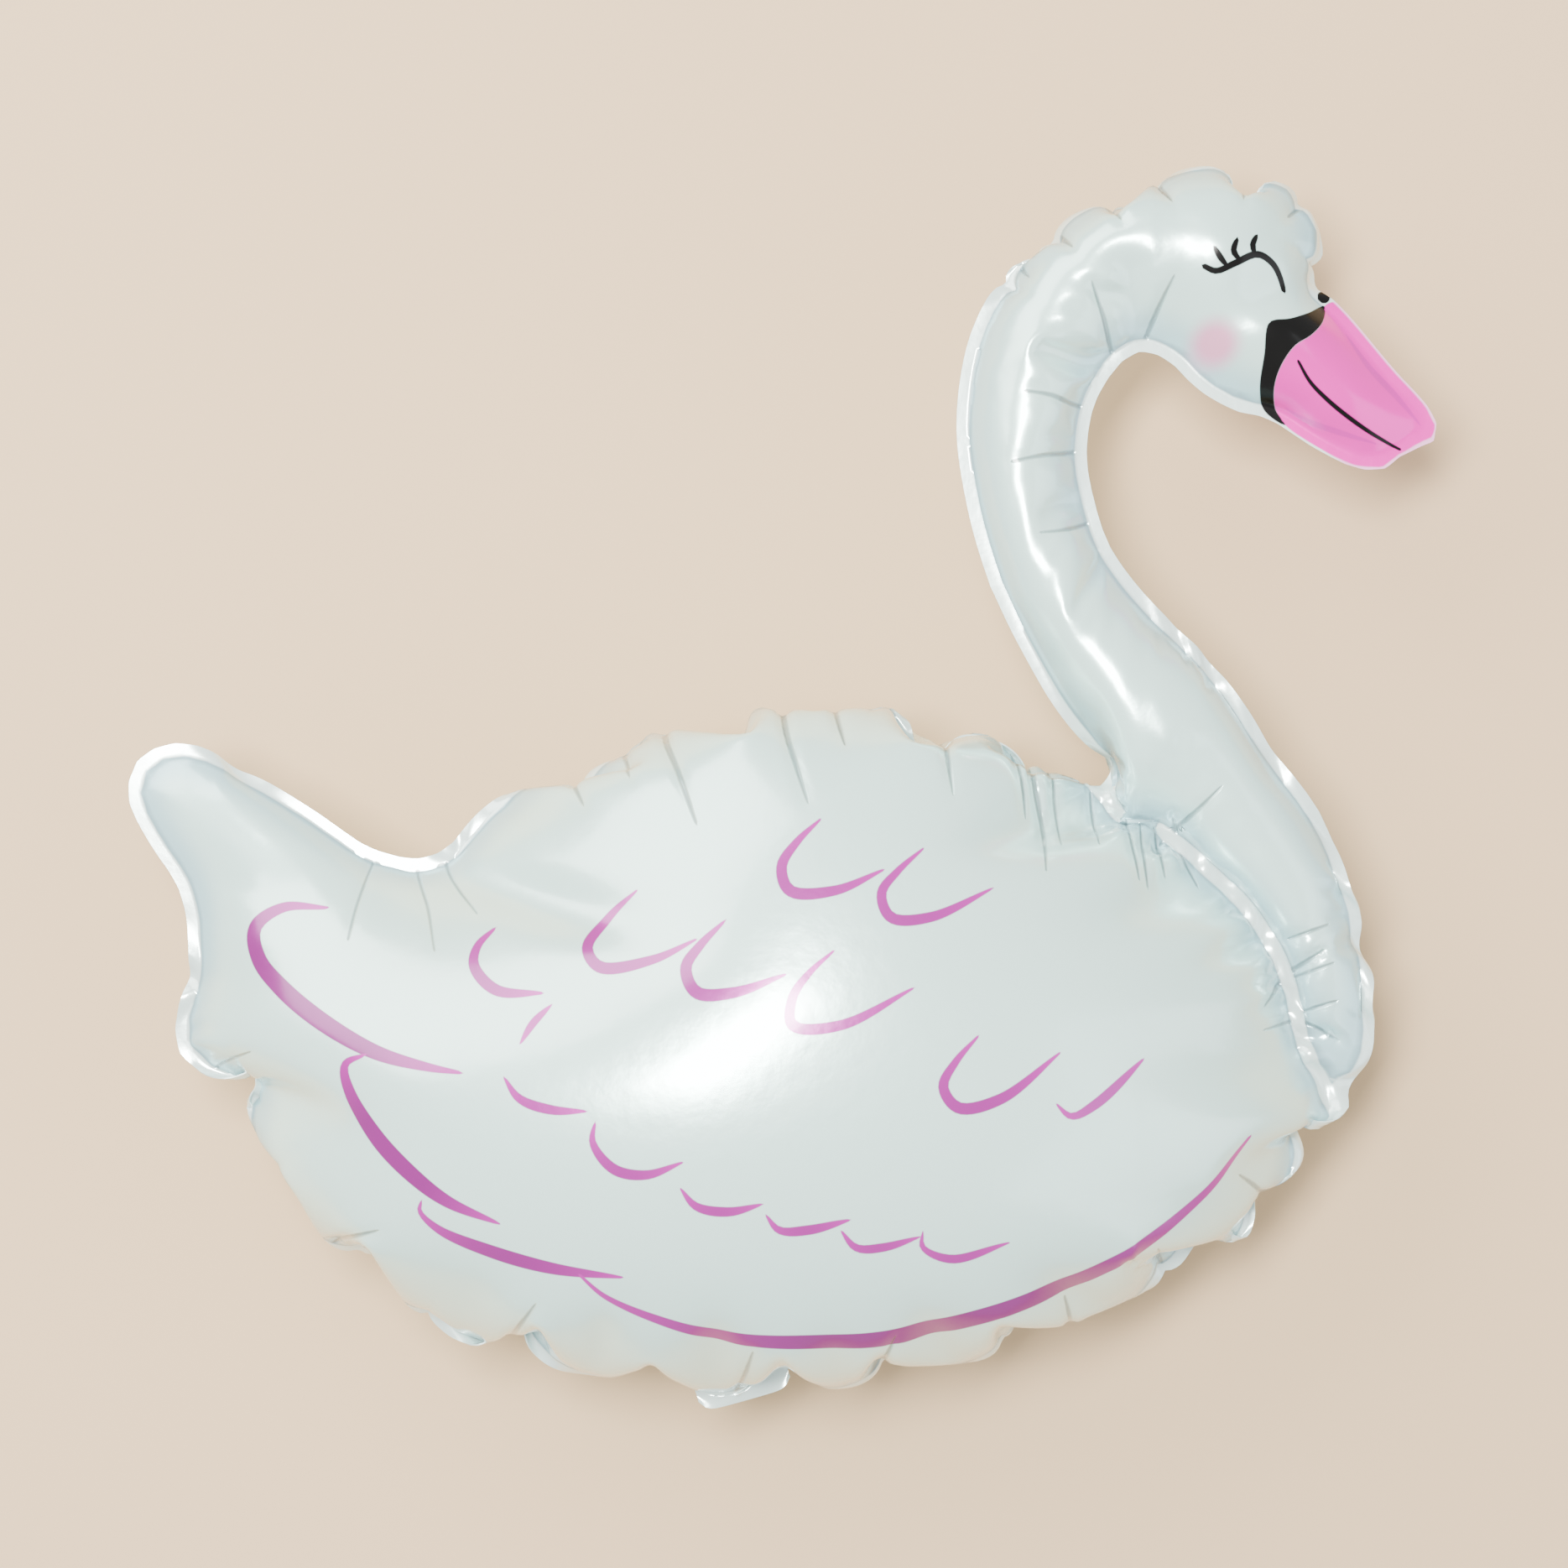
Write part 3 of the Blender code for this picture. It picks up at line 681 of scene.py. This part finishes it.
NEXT_CREASES = (
    (FRONT, 0.28, ((896, 340), (896, 400), (902, 470))),
    (FRONT, 0.25, ((800, 260), (800, 310), (806, 380))),
    (FRONT, 0.28, ((720, 200), (722, 285), (730, 380))),
    (FRONT, 0.28, ((640, 190), (655, 255), (662, 330))),
    (FRONT, 0.25, ((960, 330), (975, 395), (1010, 470))),
    (HEAD, 0.45, ((600, 680), (570, 598), (545, 520), (515, 440))),
    (HEAD, 0.45, ((630, 640), (662, 560), (690, 490), (720, 425))),
    (HEAD, 0.42, ((560, 750), (470, 738), (415, 722), (350, 712))),
    (HEAD, 0.42, ((580, 835), (462, 860), (400, 870), (315, 888))),
    (HEAD, 0.4, ((600, 1005), (512, 1036), (455, 1054), (385, 1064))),
    (HEAD, 0.42, ((318, 352), (336, 380), (362, 420))),
    (HEAD, 0.42, ((426, 292), (442, 315), (468, 350))),
    (HEAD, 0.42, ((552, 212), (566, 245), (588, 285))),
    (HEAD, 0.42, ((682, 162), (694, 195), (716, 238))),
    (HEAD, 0.42, ((906, 150), (902, 190), (894, 232))),
    (HEAD, 0.42, ((1068, 205), (1046, 240), (1012, 270))),
    (FRONT, 0.4, ((930, 390), (985, 335), (1050, 268))),
    (FRONT, 0.3, ((1185, 570), (1215, 558), (1265, 540))),
    (FRONT, 0.3, ((1195, 650), (1225, 635), (1275, 615))),
    (FRONT, 0.3, ((1215, 715), (1240, 705), (1285, 690))),
)
CREASE_WIDTH = 1.5
CREASE_DEPTH = 0.0042
CREASE_REACH = 0.006
CROWN_TURN = math.radians(62)
NOTCH_WIDTH, NOTCH_LENGTH, NOTCH_BEHIND = 0.002, 0.006, 0.012
BODY_NOTCH, CROWN_NOTCH = 0.0024, 0.0026


def near_line(places, line, reach):
    """The numbers of the places within a line's box and this reach round it."""
    return np.flatnonzero(((places > line.min(0) - reach) & (places < line.max(0) + reach)).all(1))


def facing_out(points, faces):
    """Unit normals of the points, from the faces round them."""
    corners = points[faces]
    lean = np.cross(corners[:, 1] - corners[:, 0], corners[:, 2] - corners[:, 0])
    normals = summed(faces.ravel(), np.repeat(lean, 3, axis=0), len(points))
    return normals / np.maximum(norm(normals, axis=1), 1e-12)[:, None]


def pinched(film, places, chain, depth):
    """The film drawn in at each notch of a seam, most at the notch itself."""
    line = plan[chain, :2]
    normals = inward_normals(line)
    shift = np.zeros((len(lower), 3))
    for place in metres(places):
        number = norm(line - place, axis=1).argmin()
        offset = plan[:, :2] - line[number]
        inward = offset @ normals[number]
        beside = np.abs(offset @ (-normals[number, 1], normals[number, 0]))
        share = depth * np.exp(-beside / NOTCH_WIDTH - np.maximum(inward, 0) / NOTCH_LENGTH)
        share *= inward > -NOTCH_BEHIND
        shift[:, :2] += share[:, None] * normals[number]
    film = film.copy()
    below = lower != np.arange(len(lower))
    film[:len(lower)] += shift
    film[lower[below]] += shift[below]
    return film


def calmed(values, where, rounds):
    """Values on the film, evened out with their neighbours' at the chosen points."""
    ends = np.sort(np.vstack([np.column_stack([skin[:, k], skin[:, k - 1]]) for k in range(3)]), axis=1)
    key = np.unique(ends[:, 0] * len(values) + ends[:, 1])
    mean = neighbours(key // len(values), key % len(values), len(values))[1]
    values = values.copy()
    for _ in range(rounds):
        values[where] = (values[where] + mean(values)[where]) / 2
    return values


def turned_back(film, slope):
    """The film with the hem over the crown folded back, as the spare film behind it pulls it there."""
    line = plan[chains[1], :2]
    x, y = hundredths(plan)
    share = ramp(x, 64, 69) * ramp(x, 93, 91) * ramp(y, 84, 88)
    hem = np.flatnonzero((share > 0) & (lower == np.arange(len(lower))) & ~inside_loop(plan[:, :2], line))
    gap, nearest = distance_to(plan[hem, :2], line, True)
    turn = slope * share[hem]
    film = film.copy()
    film[hem, :2] += inward_normals(line)[nearest] * (gap * (1 - np.cos(turn)))[:, None]
    film[hem, 2] -= gap * np.sin(turn)
    return film


skin = np.vstack([triangles[is_film], lower[triangles[is_film]][:, ::-1]])
weld_points = np.unique(triangles[~is_film])
on_film = np.zeros(len(film), bool)
on_film[skin] = True
on_film[weld_points] = False
part_x, part_y = hundredths(film)
FACE_ROUNDS, BREAST_ROUNDS, PRINT_ROUNDS = 24, 40, 30
film = calmed(film, np.flatnonzero(on_film & (part_x > 78) & (part_y > 72)), FACE_ROUNDS)
film = calmed(film, np.flatnonzero(on_film & (part_x > 76) & (part_y > 11) & (part_y < 28)), BREAST_ROUNDS)
film = turned_back(film, CROWN_TURN)
film = pinched(film, BACK_FOLDS + BELLY_FOLDS, chains[2], BODY_NOTCH)
film = pinched(film, CROWN_FOLDS, chains[1], CROWN_NOTCH)
inside_gap = np.minimum(
    distance_to(plan[:, :2], neck_seam, True)[0], distance_to(plan[:, :2], body_seam, True)[0]
)
from_weld = np.zeros(len(film))
from_weld[:len(lower)] = inside_gap
from_weld[lower] = inside_gap
from_weld[weld_points] = 0
CREASE_START = 0.003
press = np.zeros(len(film))
for part, half_width, pairs in BODY_CREASES + NEXT_CREASES:
    line = evenly(smooth_curve(traced(pairs, *part), False), FINE_STEP, False)
    near = near_line(film[:, :2], line, CREASE_REACH)
    gap, number = distance_to(film[near, :2], line, False)
    depth = CREASE_DEPTH * half_width * (1 - number / len(line)) * np.exp(-(gap * 1000 / CREASE_WIDTH) ** 2)
    press[near] = np.maximum(press[near], depth)
film -= facing_out(film, skin) * (press * np.minimum(from_weld / CREASE_START, 1))[:, None]

# Envelope skin: both blown-up films and the flat hem as one closed mesh. The hem is the two films welded
# face to face, so it has their thickness, drawn thicker than the real film's few hundredths of a mm.
# The filling tab below the belly is cut with the films and sticks out from the hem.
TAB_WIDTH = 0.023
TAB_LENGTH = 0.007
TAB_ROWS = 6
TAB_BULGE, TAB_WAVE = 0.0012, 2.2
TAB_ROUNDING, TAB_ROUND_SHARE = 9, 0.4
TAB_STRAIGHTENING = 1.5
HEM_THICKNESS = 0.0004


def with_tab(film, hem):
    """The film with the filling tab's points added, the tab's triangles, and the new outer edge."""
    root = norm(plan[hem, :2] - metres(TAB_ROOT), axis=1).argmin()
    spacing = norm(plan[hem[root]] - plan[hem[root - 1]])
    reach = round(TAB_WIDTH / 2 / spacing)
    wide = 2 * reach + 1
    hem = np.roll(hem, reach - root)
    edge = film[hem[:wide]]
    across = np.linspace(-1, 1, wide)[:, None]
    chord = (edge[0] * (1 - across) + edge[-1] * (1 + across)) / 2
    outwards = np.array([edge[0, 1] - edge[-1, 1], edge[-1, 0] - edge[0, 0], 0])
    outwards /= norm(outwards)
    reach_out = TAB_LENGTH * (1 - np.abs(across) ** TAB_ROUNDING * TAB_ROUND_SHARE)
    tab_rows = []
    for row in range(1, TAB_ROWS + 1):
        share = row / TAB_ROWS
        blend = min(1, share * TAB_STRAIGHTENING)
        line = edge * (1 - blend) + chord * blend + outwards * reach_out * share
        line[:, 2] += TAB_BULGE * np.sin(math.pi * share) * np.cos(across[:, 0] * TAB_WAVE)
        tab_rows.append(line)
    added = len(film) + np.arange(TAB_ROWS * wide).reshape(TAB_ROWS, -1)
    numbers = np.vstack([hem[:wide], added])
    a, b = numbers[:-1, :-1].ravel(), numbers[:-1, 1:].ravel()
    c, d = numbers[1:, 1:].ravel(), numbers[1:, :-1].ravel()
    tab = np.vstack([np.column_stack([a, b, c]), np.column_stack([a, c, d])])
    way_round = np.concatenate([numbers[1:, 0], numbers[-1, 1:], numbers[1:-1, -1][::-1]])
    return np.vstack([film] + tab_rows), tab, np.concatenate([hem[:1], way_round, hem[2 * reach:]])


sheet_count, film_count = len(lower), len(film)
film, tab, hem = with_tab(film, chains[0])
count = len(film)
top = np.vstack([triangles, tab])
band = np.vstack([triangles[~is_film], tab])
below = np.arange(count)
below[:sheet_count] = lower
shared = np.unique(band)
twin = np.arange(count)
twin[shared] = count + np.arange(len(shared))
sideways = facing_out(film, band)
points = np.vstack([film, film[shared] - sideways[shared] * HEM_THICKNESS / 2])
points[shared] += sideways[shared] * HEM_THICKNESS / 2
bottom = twin[below[top]][:, ::-1]
after = np.roll(hem, -1)
rim = np.vstack([np.column_stack([hem, twin[after], after]), np.column_stack([hem, twin[hem], twin[after]])])
points[:, 2] += WELD_HEIGHT
faces = np.vstack([top, bottom, rim])
mesh = bpy.data.meshes.new("foil_envelope_skin")
mesh.from_pydata(points.tolist(), [], faces.tolist())
mesh.validate()
mesh.shade_smooth()
mesh.set_sharp_from_angle(angle=math.radians(55))


def placed(name, data):
    """A new object in the scene."""
    thing = bpy.data.objects.new(name, data)
    bpy.context.scene.collection.objects.link(thing)
    return thing


envelope = placed("foil_envelope_skin", mesh)
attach(envelope, "root")
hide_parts("foil_envelope")

# Print: flat inks on the film under its gloss varnish, the same on both films. Rose brush strokes draw the
# wing's feathers, and the face has a rose bill, a black patch, a shut eye with lashes and a blush.
# Strokes that nearly touch are in different tables, because a table keeps only the nearest one's distance.
FEATHERS = (
    (FRONT, 1.5, ((265, 330), (218, 375), (190, 420), (205, 465), (290, 465), (385, 425))),
    (FRONT, 1.6, ((85, 520), (35, 570), (10, 610), (30, 655), (100, 655), (200, 620))),
    (FRONT, 1.5, ((560, 735), (515, 785), (492, 830), (520, 870), (600, 855), (715, 770))),
    (FRONT, 1.3, ((0, 1020), (30, 1055), (90, 1065), (155, 1050))),
    (FRONT, 1.2, ((300, 1100), (330, 1135), (380, 1135), (450, 1115))),
    (TAIL, 1.5, ((985, 485), (950, 520), (945, 555), (990, 600), (1085, 605))),
    (TAIL, 1.3, ((1010, 760), (1040, 800), (1100, 820), (1170, 822))),
    (TAIL, 2.4, ((650, 450), (560, 450), (505, 490), (515, 550), (560, 600), (650, 665), (760, 720),
                 (860, 745), (930, 755))),
    (TAIL, 1.8, ((850, 1000), (845, 1020), (880, 1055), (980, 1095), (1100, 1125), (1235, 1140))),
)
NEXT_FEATHERS = (
    (FRONT, 1.4, ((460, 385), (408, 430), (378, 470), (395, 515), (470, 515), (590, 462))),
    (FRONT, 1.4, ((290, 575), (240, 620), (210, 665), (210, 715), (300, 715), (440, 645))),
    (FRONT, 1.3, ((705, 865), (735, 890), (780, 870), (880, 785))),
    (FRONT, 1.3, ((160, 1070), (185, 1100), (240, 1100), (320, 1080))),
    (FRONT, 1.2, ((455, 1105), (455, 1135), (510, 1160), (620, 1130))),
    (TAIL, 1.5, ((1260, 410), (1200, 465), (1165, 520), (1190, 555), (1290, 540), (1375, 500))),
    (TAIL, 1.0, ((1100, 625), (1065, 660), (1040, 700))),
    (TAIL, 1.4, ((1185, 840), (1180, 880), (1220, 930), (1280, 940), (1350, 915))),
    (TAIL, 2.2, ((740, 725), (700, 745), (710, 800), (760, 880), (830, 950), (900, 1000), (1000, 1040))),
    (TAIL, 2.2, ((1150, 1135), (1200, 1180), (1300, 1225), (1420, 1260), (1568, 1270), (1730, 1265),
                 (1900, 1227), (2070, 1170), (2230, 1085), (2345, 995), (2435, 885))),
)
EYE = (
    (HEAD, 0.95, ((997, 460), (985, 425), (965, 395), (925, 375), (865, 400), (820, 418), (790, 405))),
)
MOUTH_AND_LASHES = (
    (HEAD, 0.62, ((1030, 636), (1060, 685), (1100, 725), (1150, 765), (1220, 810), (1298, 850))),
    (HEAD, 0.85, ((918, 378), (912, 352), (923, 328))),
    (HEAD, 0.85, ((846, 405), (830, 385), (815, 360))),
)
MIDDLE_LASH = ((HEAD, 0.85, ((880, 392), (863, 370), (872, 338))),)
BILL_RIDGES = (
    (HEAD, 0.7, ((1005, 745), (1060, 778), (1130, 805), (1240, 838))),
    (HEAD, 0.9, ((1160, 560), (1215, 640), (1290, 720), (1350, 790))),
)
BILL_ROOT = ((1010, 790), (985, 750), (975, 705), (985, 655), (1020, 600), (1065, 570), (1100, 530))
FACE_PATCH = ((1108, 488), (1060, 512), (1010, 530), (955, 542), (945, 620), (940, 700), (958, 755))
FACE_PATCH += BILL_ROOT
BILL = ((1108, 488), (1150, 480), (1420, 770), (1420, 900), (1240, 920), (1100, 850)) + BILL_ROOT
BLUSH = (825, 590)
EYE_DOT = (1106, 466)
STROKE_STEP = 0.0005
STEPS_BEYOND = 8
STROKE_REACH, AREA_REACH = 0.005, 0.006
BESIDE_STROKE = 2.0
FAR = 9.0
BLUNT, ROUND, DRY, SHARP, FINEST = 0.75, 0.6, 0.15, 0.1, 0.05


def stroke_field(places, strokes, tip):
    """Signed distance from the nearest stroke's middle line, and half its width there, in mm.

    Each line is carried on for some steps past its ends, where its half width falls below 0.
    """
    field = np.column_stack([np.full(len(places), FAR), np.full(len(places), -FAR)])
    for part, half_width, pairs in strokes:
        line = evenly(smooth_curve(traced(pairs, *part), False), STROKE_STEP, False)
        stretches = len(line) - 1
        first, last = line[0] - line[3], line[-1] - line[-4]
        run = norm(np.diff(line, axis=0), axis=1).mean()
        beyond = np.arange(1, STEPS_BEYOND + 1)[:, None] * STROKE_STEP
        line = np.vstack([
            line[0] + first / norm(first) * beyond[::-1], line,
            line[-1] + last / norm(last) * beyond,
        ])
        near = near_line(places, line, STROKE_REACH)
        gap, number = distance_to(places[near], line, False)
        offset = places[near] - line[number]
        step = line[number + 1] - line[number]
        side = np.sign(step[:, 0] * offset[:, 1] - step[:, 1] * offset[:, 0])
        at = (number + (offset * step).sum(1) / (step * step).sum(1) - STEPS_BEYOND) / stretches
        length = stretches * run * 1000
        width = half_width * (tip + (1 - tip) * np.sin(math.pi * np.clip(at, 0, 1)) ** 0.8)
        width -= np.maximum(np.maximum(-at, at - 1), 0) * length
        gap = gap * 1000
        better = width - gap > field[near, 1] - np.abs(field[near, 0])
        better &= gap < half_width + BESIDE_STROKE
        field[near[better], 0] = (gap * side)[better]
        field[near[better], 1] = width[better]
    return field


def region_field(places, pairs):
    """Distance from the edge of a printed area, in mm: more than 0 inside it."""
    loop = smooth_curve(traced(pairs, *HEAD), True, 6)
    gap = np.full(len(places), -FAR)
    near = near_line(places, loop, AREA_REACH)
    distance = distance_to(places[near], loop, True)[0] * 1000
    gap[near] = np.where(inside_loop(places[near], loop), distance, -distance)
    return gap


def store(name, values):
    """A named value at each point of the envelope, for its material."""
    values = np.column_stack([values, np.zeros((len(values), 3 - values.shape[1]))])
    layer = mesh.attributes.new(name, "FLOAT_VECTOR", "POINT")
    layer.data.foreach_set("vector", values.ravel())


TAB_BEYOND_SEAM = -5.0
body_film = np.flatnonzero(on_film & (film[:film_count, 1] < metres((0, 56))[1]))
places = points[:, :2].copy()
places[body_film] = calmed(film, body_film, PRINT_ROUNDS)[body_film, :2]
for name, strokes, tip in (("crease_a", BODY_CREASES, FINEST), ("crease_b", NEXT_CREASES, FINEST)):
    store(name, stroke_field(points[:, :2], strokes, tip))
for name, strokes, tip in (
    ("rose_a", FEATHERS, DRY), ("rose_b", NEXT_FEATHERS, DRY), ("ridges", BILL_RIDGES, SHARP),
    ("ink_a", EYE, BLUNT), ("ink_b", MOUTH_AND_LASHES, ROUND), ("ink_c", MIDDLE_LASH, ROUND),
):
    store(name, stroke_field(places, strokes, tip))
blush_gap = norm(places - traced([BLUSH], *HEAD), axis=1) * 1000
dot_gap = norm(places - traced([EYE_DOT], *HEAD), axis=1) * 1000
store("face", np.column_stack([region_field(places, FACE_PATCH), region_field(places, BILL), blush_gap]))
from_seam = np.full(len(points), TAB_BEYOND_SEAM)
from_seam[:sheet_count] = inside_gap * 1000
from_seam[weld_points] *= -1
from_seam[lower] = from_seam[:sheet_count]
from_seam[twin[shared]] = from_seam[shared]
store("seam", np.column_stack([from_seam, dot_gap]))


def linear(code):
    """An sRGB hex colour as linear red, green, blue and alpha."""
    channels = [int(code[place:place + 2], 16) / 255 for place in (0, 2, 4)]
    return [c / 12.92 if c < 0.04045 else ((c + 0.055) / 1.055) ** 2.4 for c in channels] + [1.0]


def node(tree, kind, inputs=(), **settings):
    """One shader node with its settings, its sockets set or linked."""
    made = tree.nodes.new(kind)
    for key, value in settings.items():
        setattr(made, key, value)
    for socket, value in dict(inputs).items():
        if isinstance(value, bpy.types.NodeSocket):
            tree.links.new(value, made.inputs[socket])
        else:
            made.inputs[socket].default_value = value
    return made


CRINKLES_PER_METRE = 160.0


def pearl_foil():
    """Pearl-white ink on metallised polyester film under gloss varnish: milky, with soft bright sheens."""
    material = bpy.data.materials.new("pearl white printed polyester foil")
    material.use_nodes = True
    tree = material.node_tree
    shader = tree.nodes["Principled BSDF"]

    def math_node(operation, first, second=0.0):
        return node(tree, "ShaderNodeMath", {0: first, 1: second}, operation=operation).outputs[0]

    def split(name):
        layer = node(tree, "ShaderNodeAttribute", attribute_name=name)
        return node(tree, "ShaderNodeSeparateXYZ", {0: layer.outputs["Vector"]}).outputs

    def between(value, start, end, at_start, at_end, kind="SMOOTHSTEP"):
        inputs = dict(enumerate((value, start, end, at_start, at_end)))
        return node(tree, "ShaderNodeMapRange", inputs, interpolation_type=kind).outputs[0]

    def edge(value, soft=0.18):
        return between(value, -soft, soft, 0.0, 1.0)

    def over(below, above, share):
        mixed = node(tree, "ShaderNodeMix", {0: share, 6: below, 7: above}, data_type="RGBA")
        return mixed.outputs[2]

    def inside_stroke(name):
        parts = split(name)
        return math_node("SUBTRACT", parts[1], math_node("ABSOLUTE", parts[0]))

    def inked(name):
        return edge(inside_stroke(name))

    # The film itself: painted cool shade towards the seam, where the film turns steep, painted darker shade
    # in the seam's corner, plain on the hem
    seam = split("seam")
    face = split("face")
    painted_cool_shade = between(seam[0], 0.0, 11.0, 0.65, 0.0, "SMOOTHERSTEP")
    colour = over(linear("CBEBE3"), linear("98C0CE"), painted_cool_shade)
    # Painted shade: a narrow darker band in the seam's corner
    colour = over(colour, linear("667E86"), between(seam[0], 0.0, 1.4, 0.6, 0.0, "LINEAR"))
    colour = over(colour, linear("D6E8E3"), edge(math_node("SUBTRACT", -0.2, seam[0]), 0.35))

    # Painted shade in the creases' sharp bottoms, which are finer than the mesh: the colour is drawn darker
    # along them
    lines = [between(inside_stroke(name), -0.5, 0.35, 0.0, 1.0) for name in ("crease_a", "crease_b")]
    folded = math_node("MULTIPLY", math_node("MAXIMUM", *lines), edge(seam[0], 0.6))
    colour = over(colour, linear("4E6468"), math_node("MULTIPLY", folded, 0.66))

    # The inks, one over the other
    colour = over(colour, linear("E58DB4"), between(face[2], 8.8, 2.6, 0.0, 0.9))
    bill = over(linear("E900AC"), linear("B81C98"), math_node("MULTIPLY", inked("ridges"), 0.55))
    bill_rim = edge(math_node("SUBTRACT", -2.9, seam[0]), 0.3)
    bill = over(bill, linear("F9C4E6"), math_node("MULTIPLY", bill_rim, 0.8))
    colour = over(colour, bill, edge(face[1]))
    for name in ("rose_a", "rose_b"):
        pressed = between(split(name)[1], 0.5, 2.0, 0.0, 1.0, "LINEAR")
        rose = over(linear("B0189A"), linear("800A72"), pressed)
        colour = over(colour, rose, inked(name))
    black = math_node("MAXIMUM", edge(face[0]), edge(math_node("SUBTRACT", 1.75, seam[1])))
    for name in ("ink_a", "ink_b", "ink_c"):
        black = math_node("MAXIMUM", black, inked(name))
    colour = over(colour, linear("070605"), black)
    tree.links.new(colour, shader.inputs["Base Color"])

    # Gloss: a clear varnish over all, weaker on the black ink, and fine crinkles a few mm apart
    for socket, value in (("Metallic", 0.3), ("Roughness", 0.24), ("Coat Roughness", 0.12)):
        shader.inputs[socket].default_value = value
    for socket, whole in (("Coat Weight", 1.0), ("Specular IOR Level", 0.5)):
        gloss = math_node("SUBTRACT", whole, math_node("MULTIPLY", black, 0.7 * whole))
        tree.links.new(gloss, shader.inputs[socket])
    place = node(tree, "ShaderNodeTexCoord").outputs["Object"]
    grain = {"Vector": place, "Scale": CRINKLES_PER_METRE, "Detail": 3.0, "Roughness": 0.5}
    crinkle = node(tree, "ShaderNodeTexNoise", grain)
    bump = node(tree, "ShaderNodeBump", {"Height": crinkle.outputs[0], "Strength": 0.25, "Distance": 0.0004})
    groove = {"Height": folded, "Strength": 0.9, "Distance": 0.0005, "Normal": bump.outputs[0]}
    valley = node(tree, "ShaderNodeBump", groove, invert=True)
    tree.links.new(valley.outputs[0], shader.inputs["Normal"])
    return material


mesh.materials.append(pearl_foil())

# Floor: one plain pale matt sheet of paper that the swan lies on. It is far larger than the view from
# above, so no edge of it shows there, and lies a hair below the swan's lowest point.
FLOOR_HALF = 3.0
FLOOR_HEIGHT = -0.0002
floor_mesh = bpy.data.meshes.new("floor")
corners = [(x * FLOOR_HALF, y * FLOOR_HALF, FLOOR_HEIGHT) for x, y in ((-1, -1), (1, -1), (1, 1), (-1, 1))]
floor_mesh.from_pydata(corners, [], [(0, 1, 2, 3)])
paper = bpy.data.materials.new("pale matt paper")
paper.use_nodes = True
matt = paper.node_tree.nodes["Principled BSDF"].inputs
matt["Base Color"].default_value = linear("D2B48E")
matt["Roughness"].default_value = 0.9
floor_mesh.materials.append(paper)
floor = placed("floor", floor_mesh)

# Light: a small soft box next to the camera gives the bright spot on the wing, a large one at the upper
# left gives the long sheens, and a weak cool one at the right and a pale room fill the shade.
SWAN_MIDDLE = Vector((0, 0, 0.05))


def soft_light(place, size, power, colour):
    """An oblong area light that looks at the swan's middle."""
    data = bpy.data.lights.new("soft light", "AREA")
    data.shape = "RECTANGLE"
    data.size, data.size_y = size
    data.energy = power
    data.color = linear(colour)[:3]
    lamp = placed("soft light", data)
    lamp.location = place
    lamp.rotation_euler = (SWAN_MIDDLE - Vector(place)).to_track_quat("-Z", "Y").to_euler()


soft_light((-0.22, 0.16, 1.35), (0.5, 0.26), 42, "FFFEFB")
soft_light((-0.95, 0.9, 0.95), (1.5, 1.1), 34, "FFFDFA")
soft_light((1.6, -0.5, 1.0), (1.8, 1.8), 14, "F2F7FF")
world = bpy.data.worlds.new("pale room")
world.use_nodes = True
air = world.node_tree.nodes["Background"].inputs
air["Color"].default_value = linear("EEF0F2")
air["Strength"].default_value = 1.15
bpy.context.scene.world = world

# Camera: it looks straight down on the swan's side, which the photo shows square on. The lens is long,
# as the photo was taken from far away.
camera_data = bpy.data.cameras.new("camera")
camera_data.lens = 85
camera = placed("camera", camera_data)
camera.location = (0, 0.002, 1.02)
bpy.context.scene.camera = camera
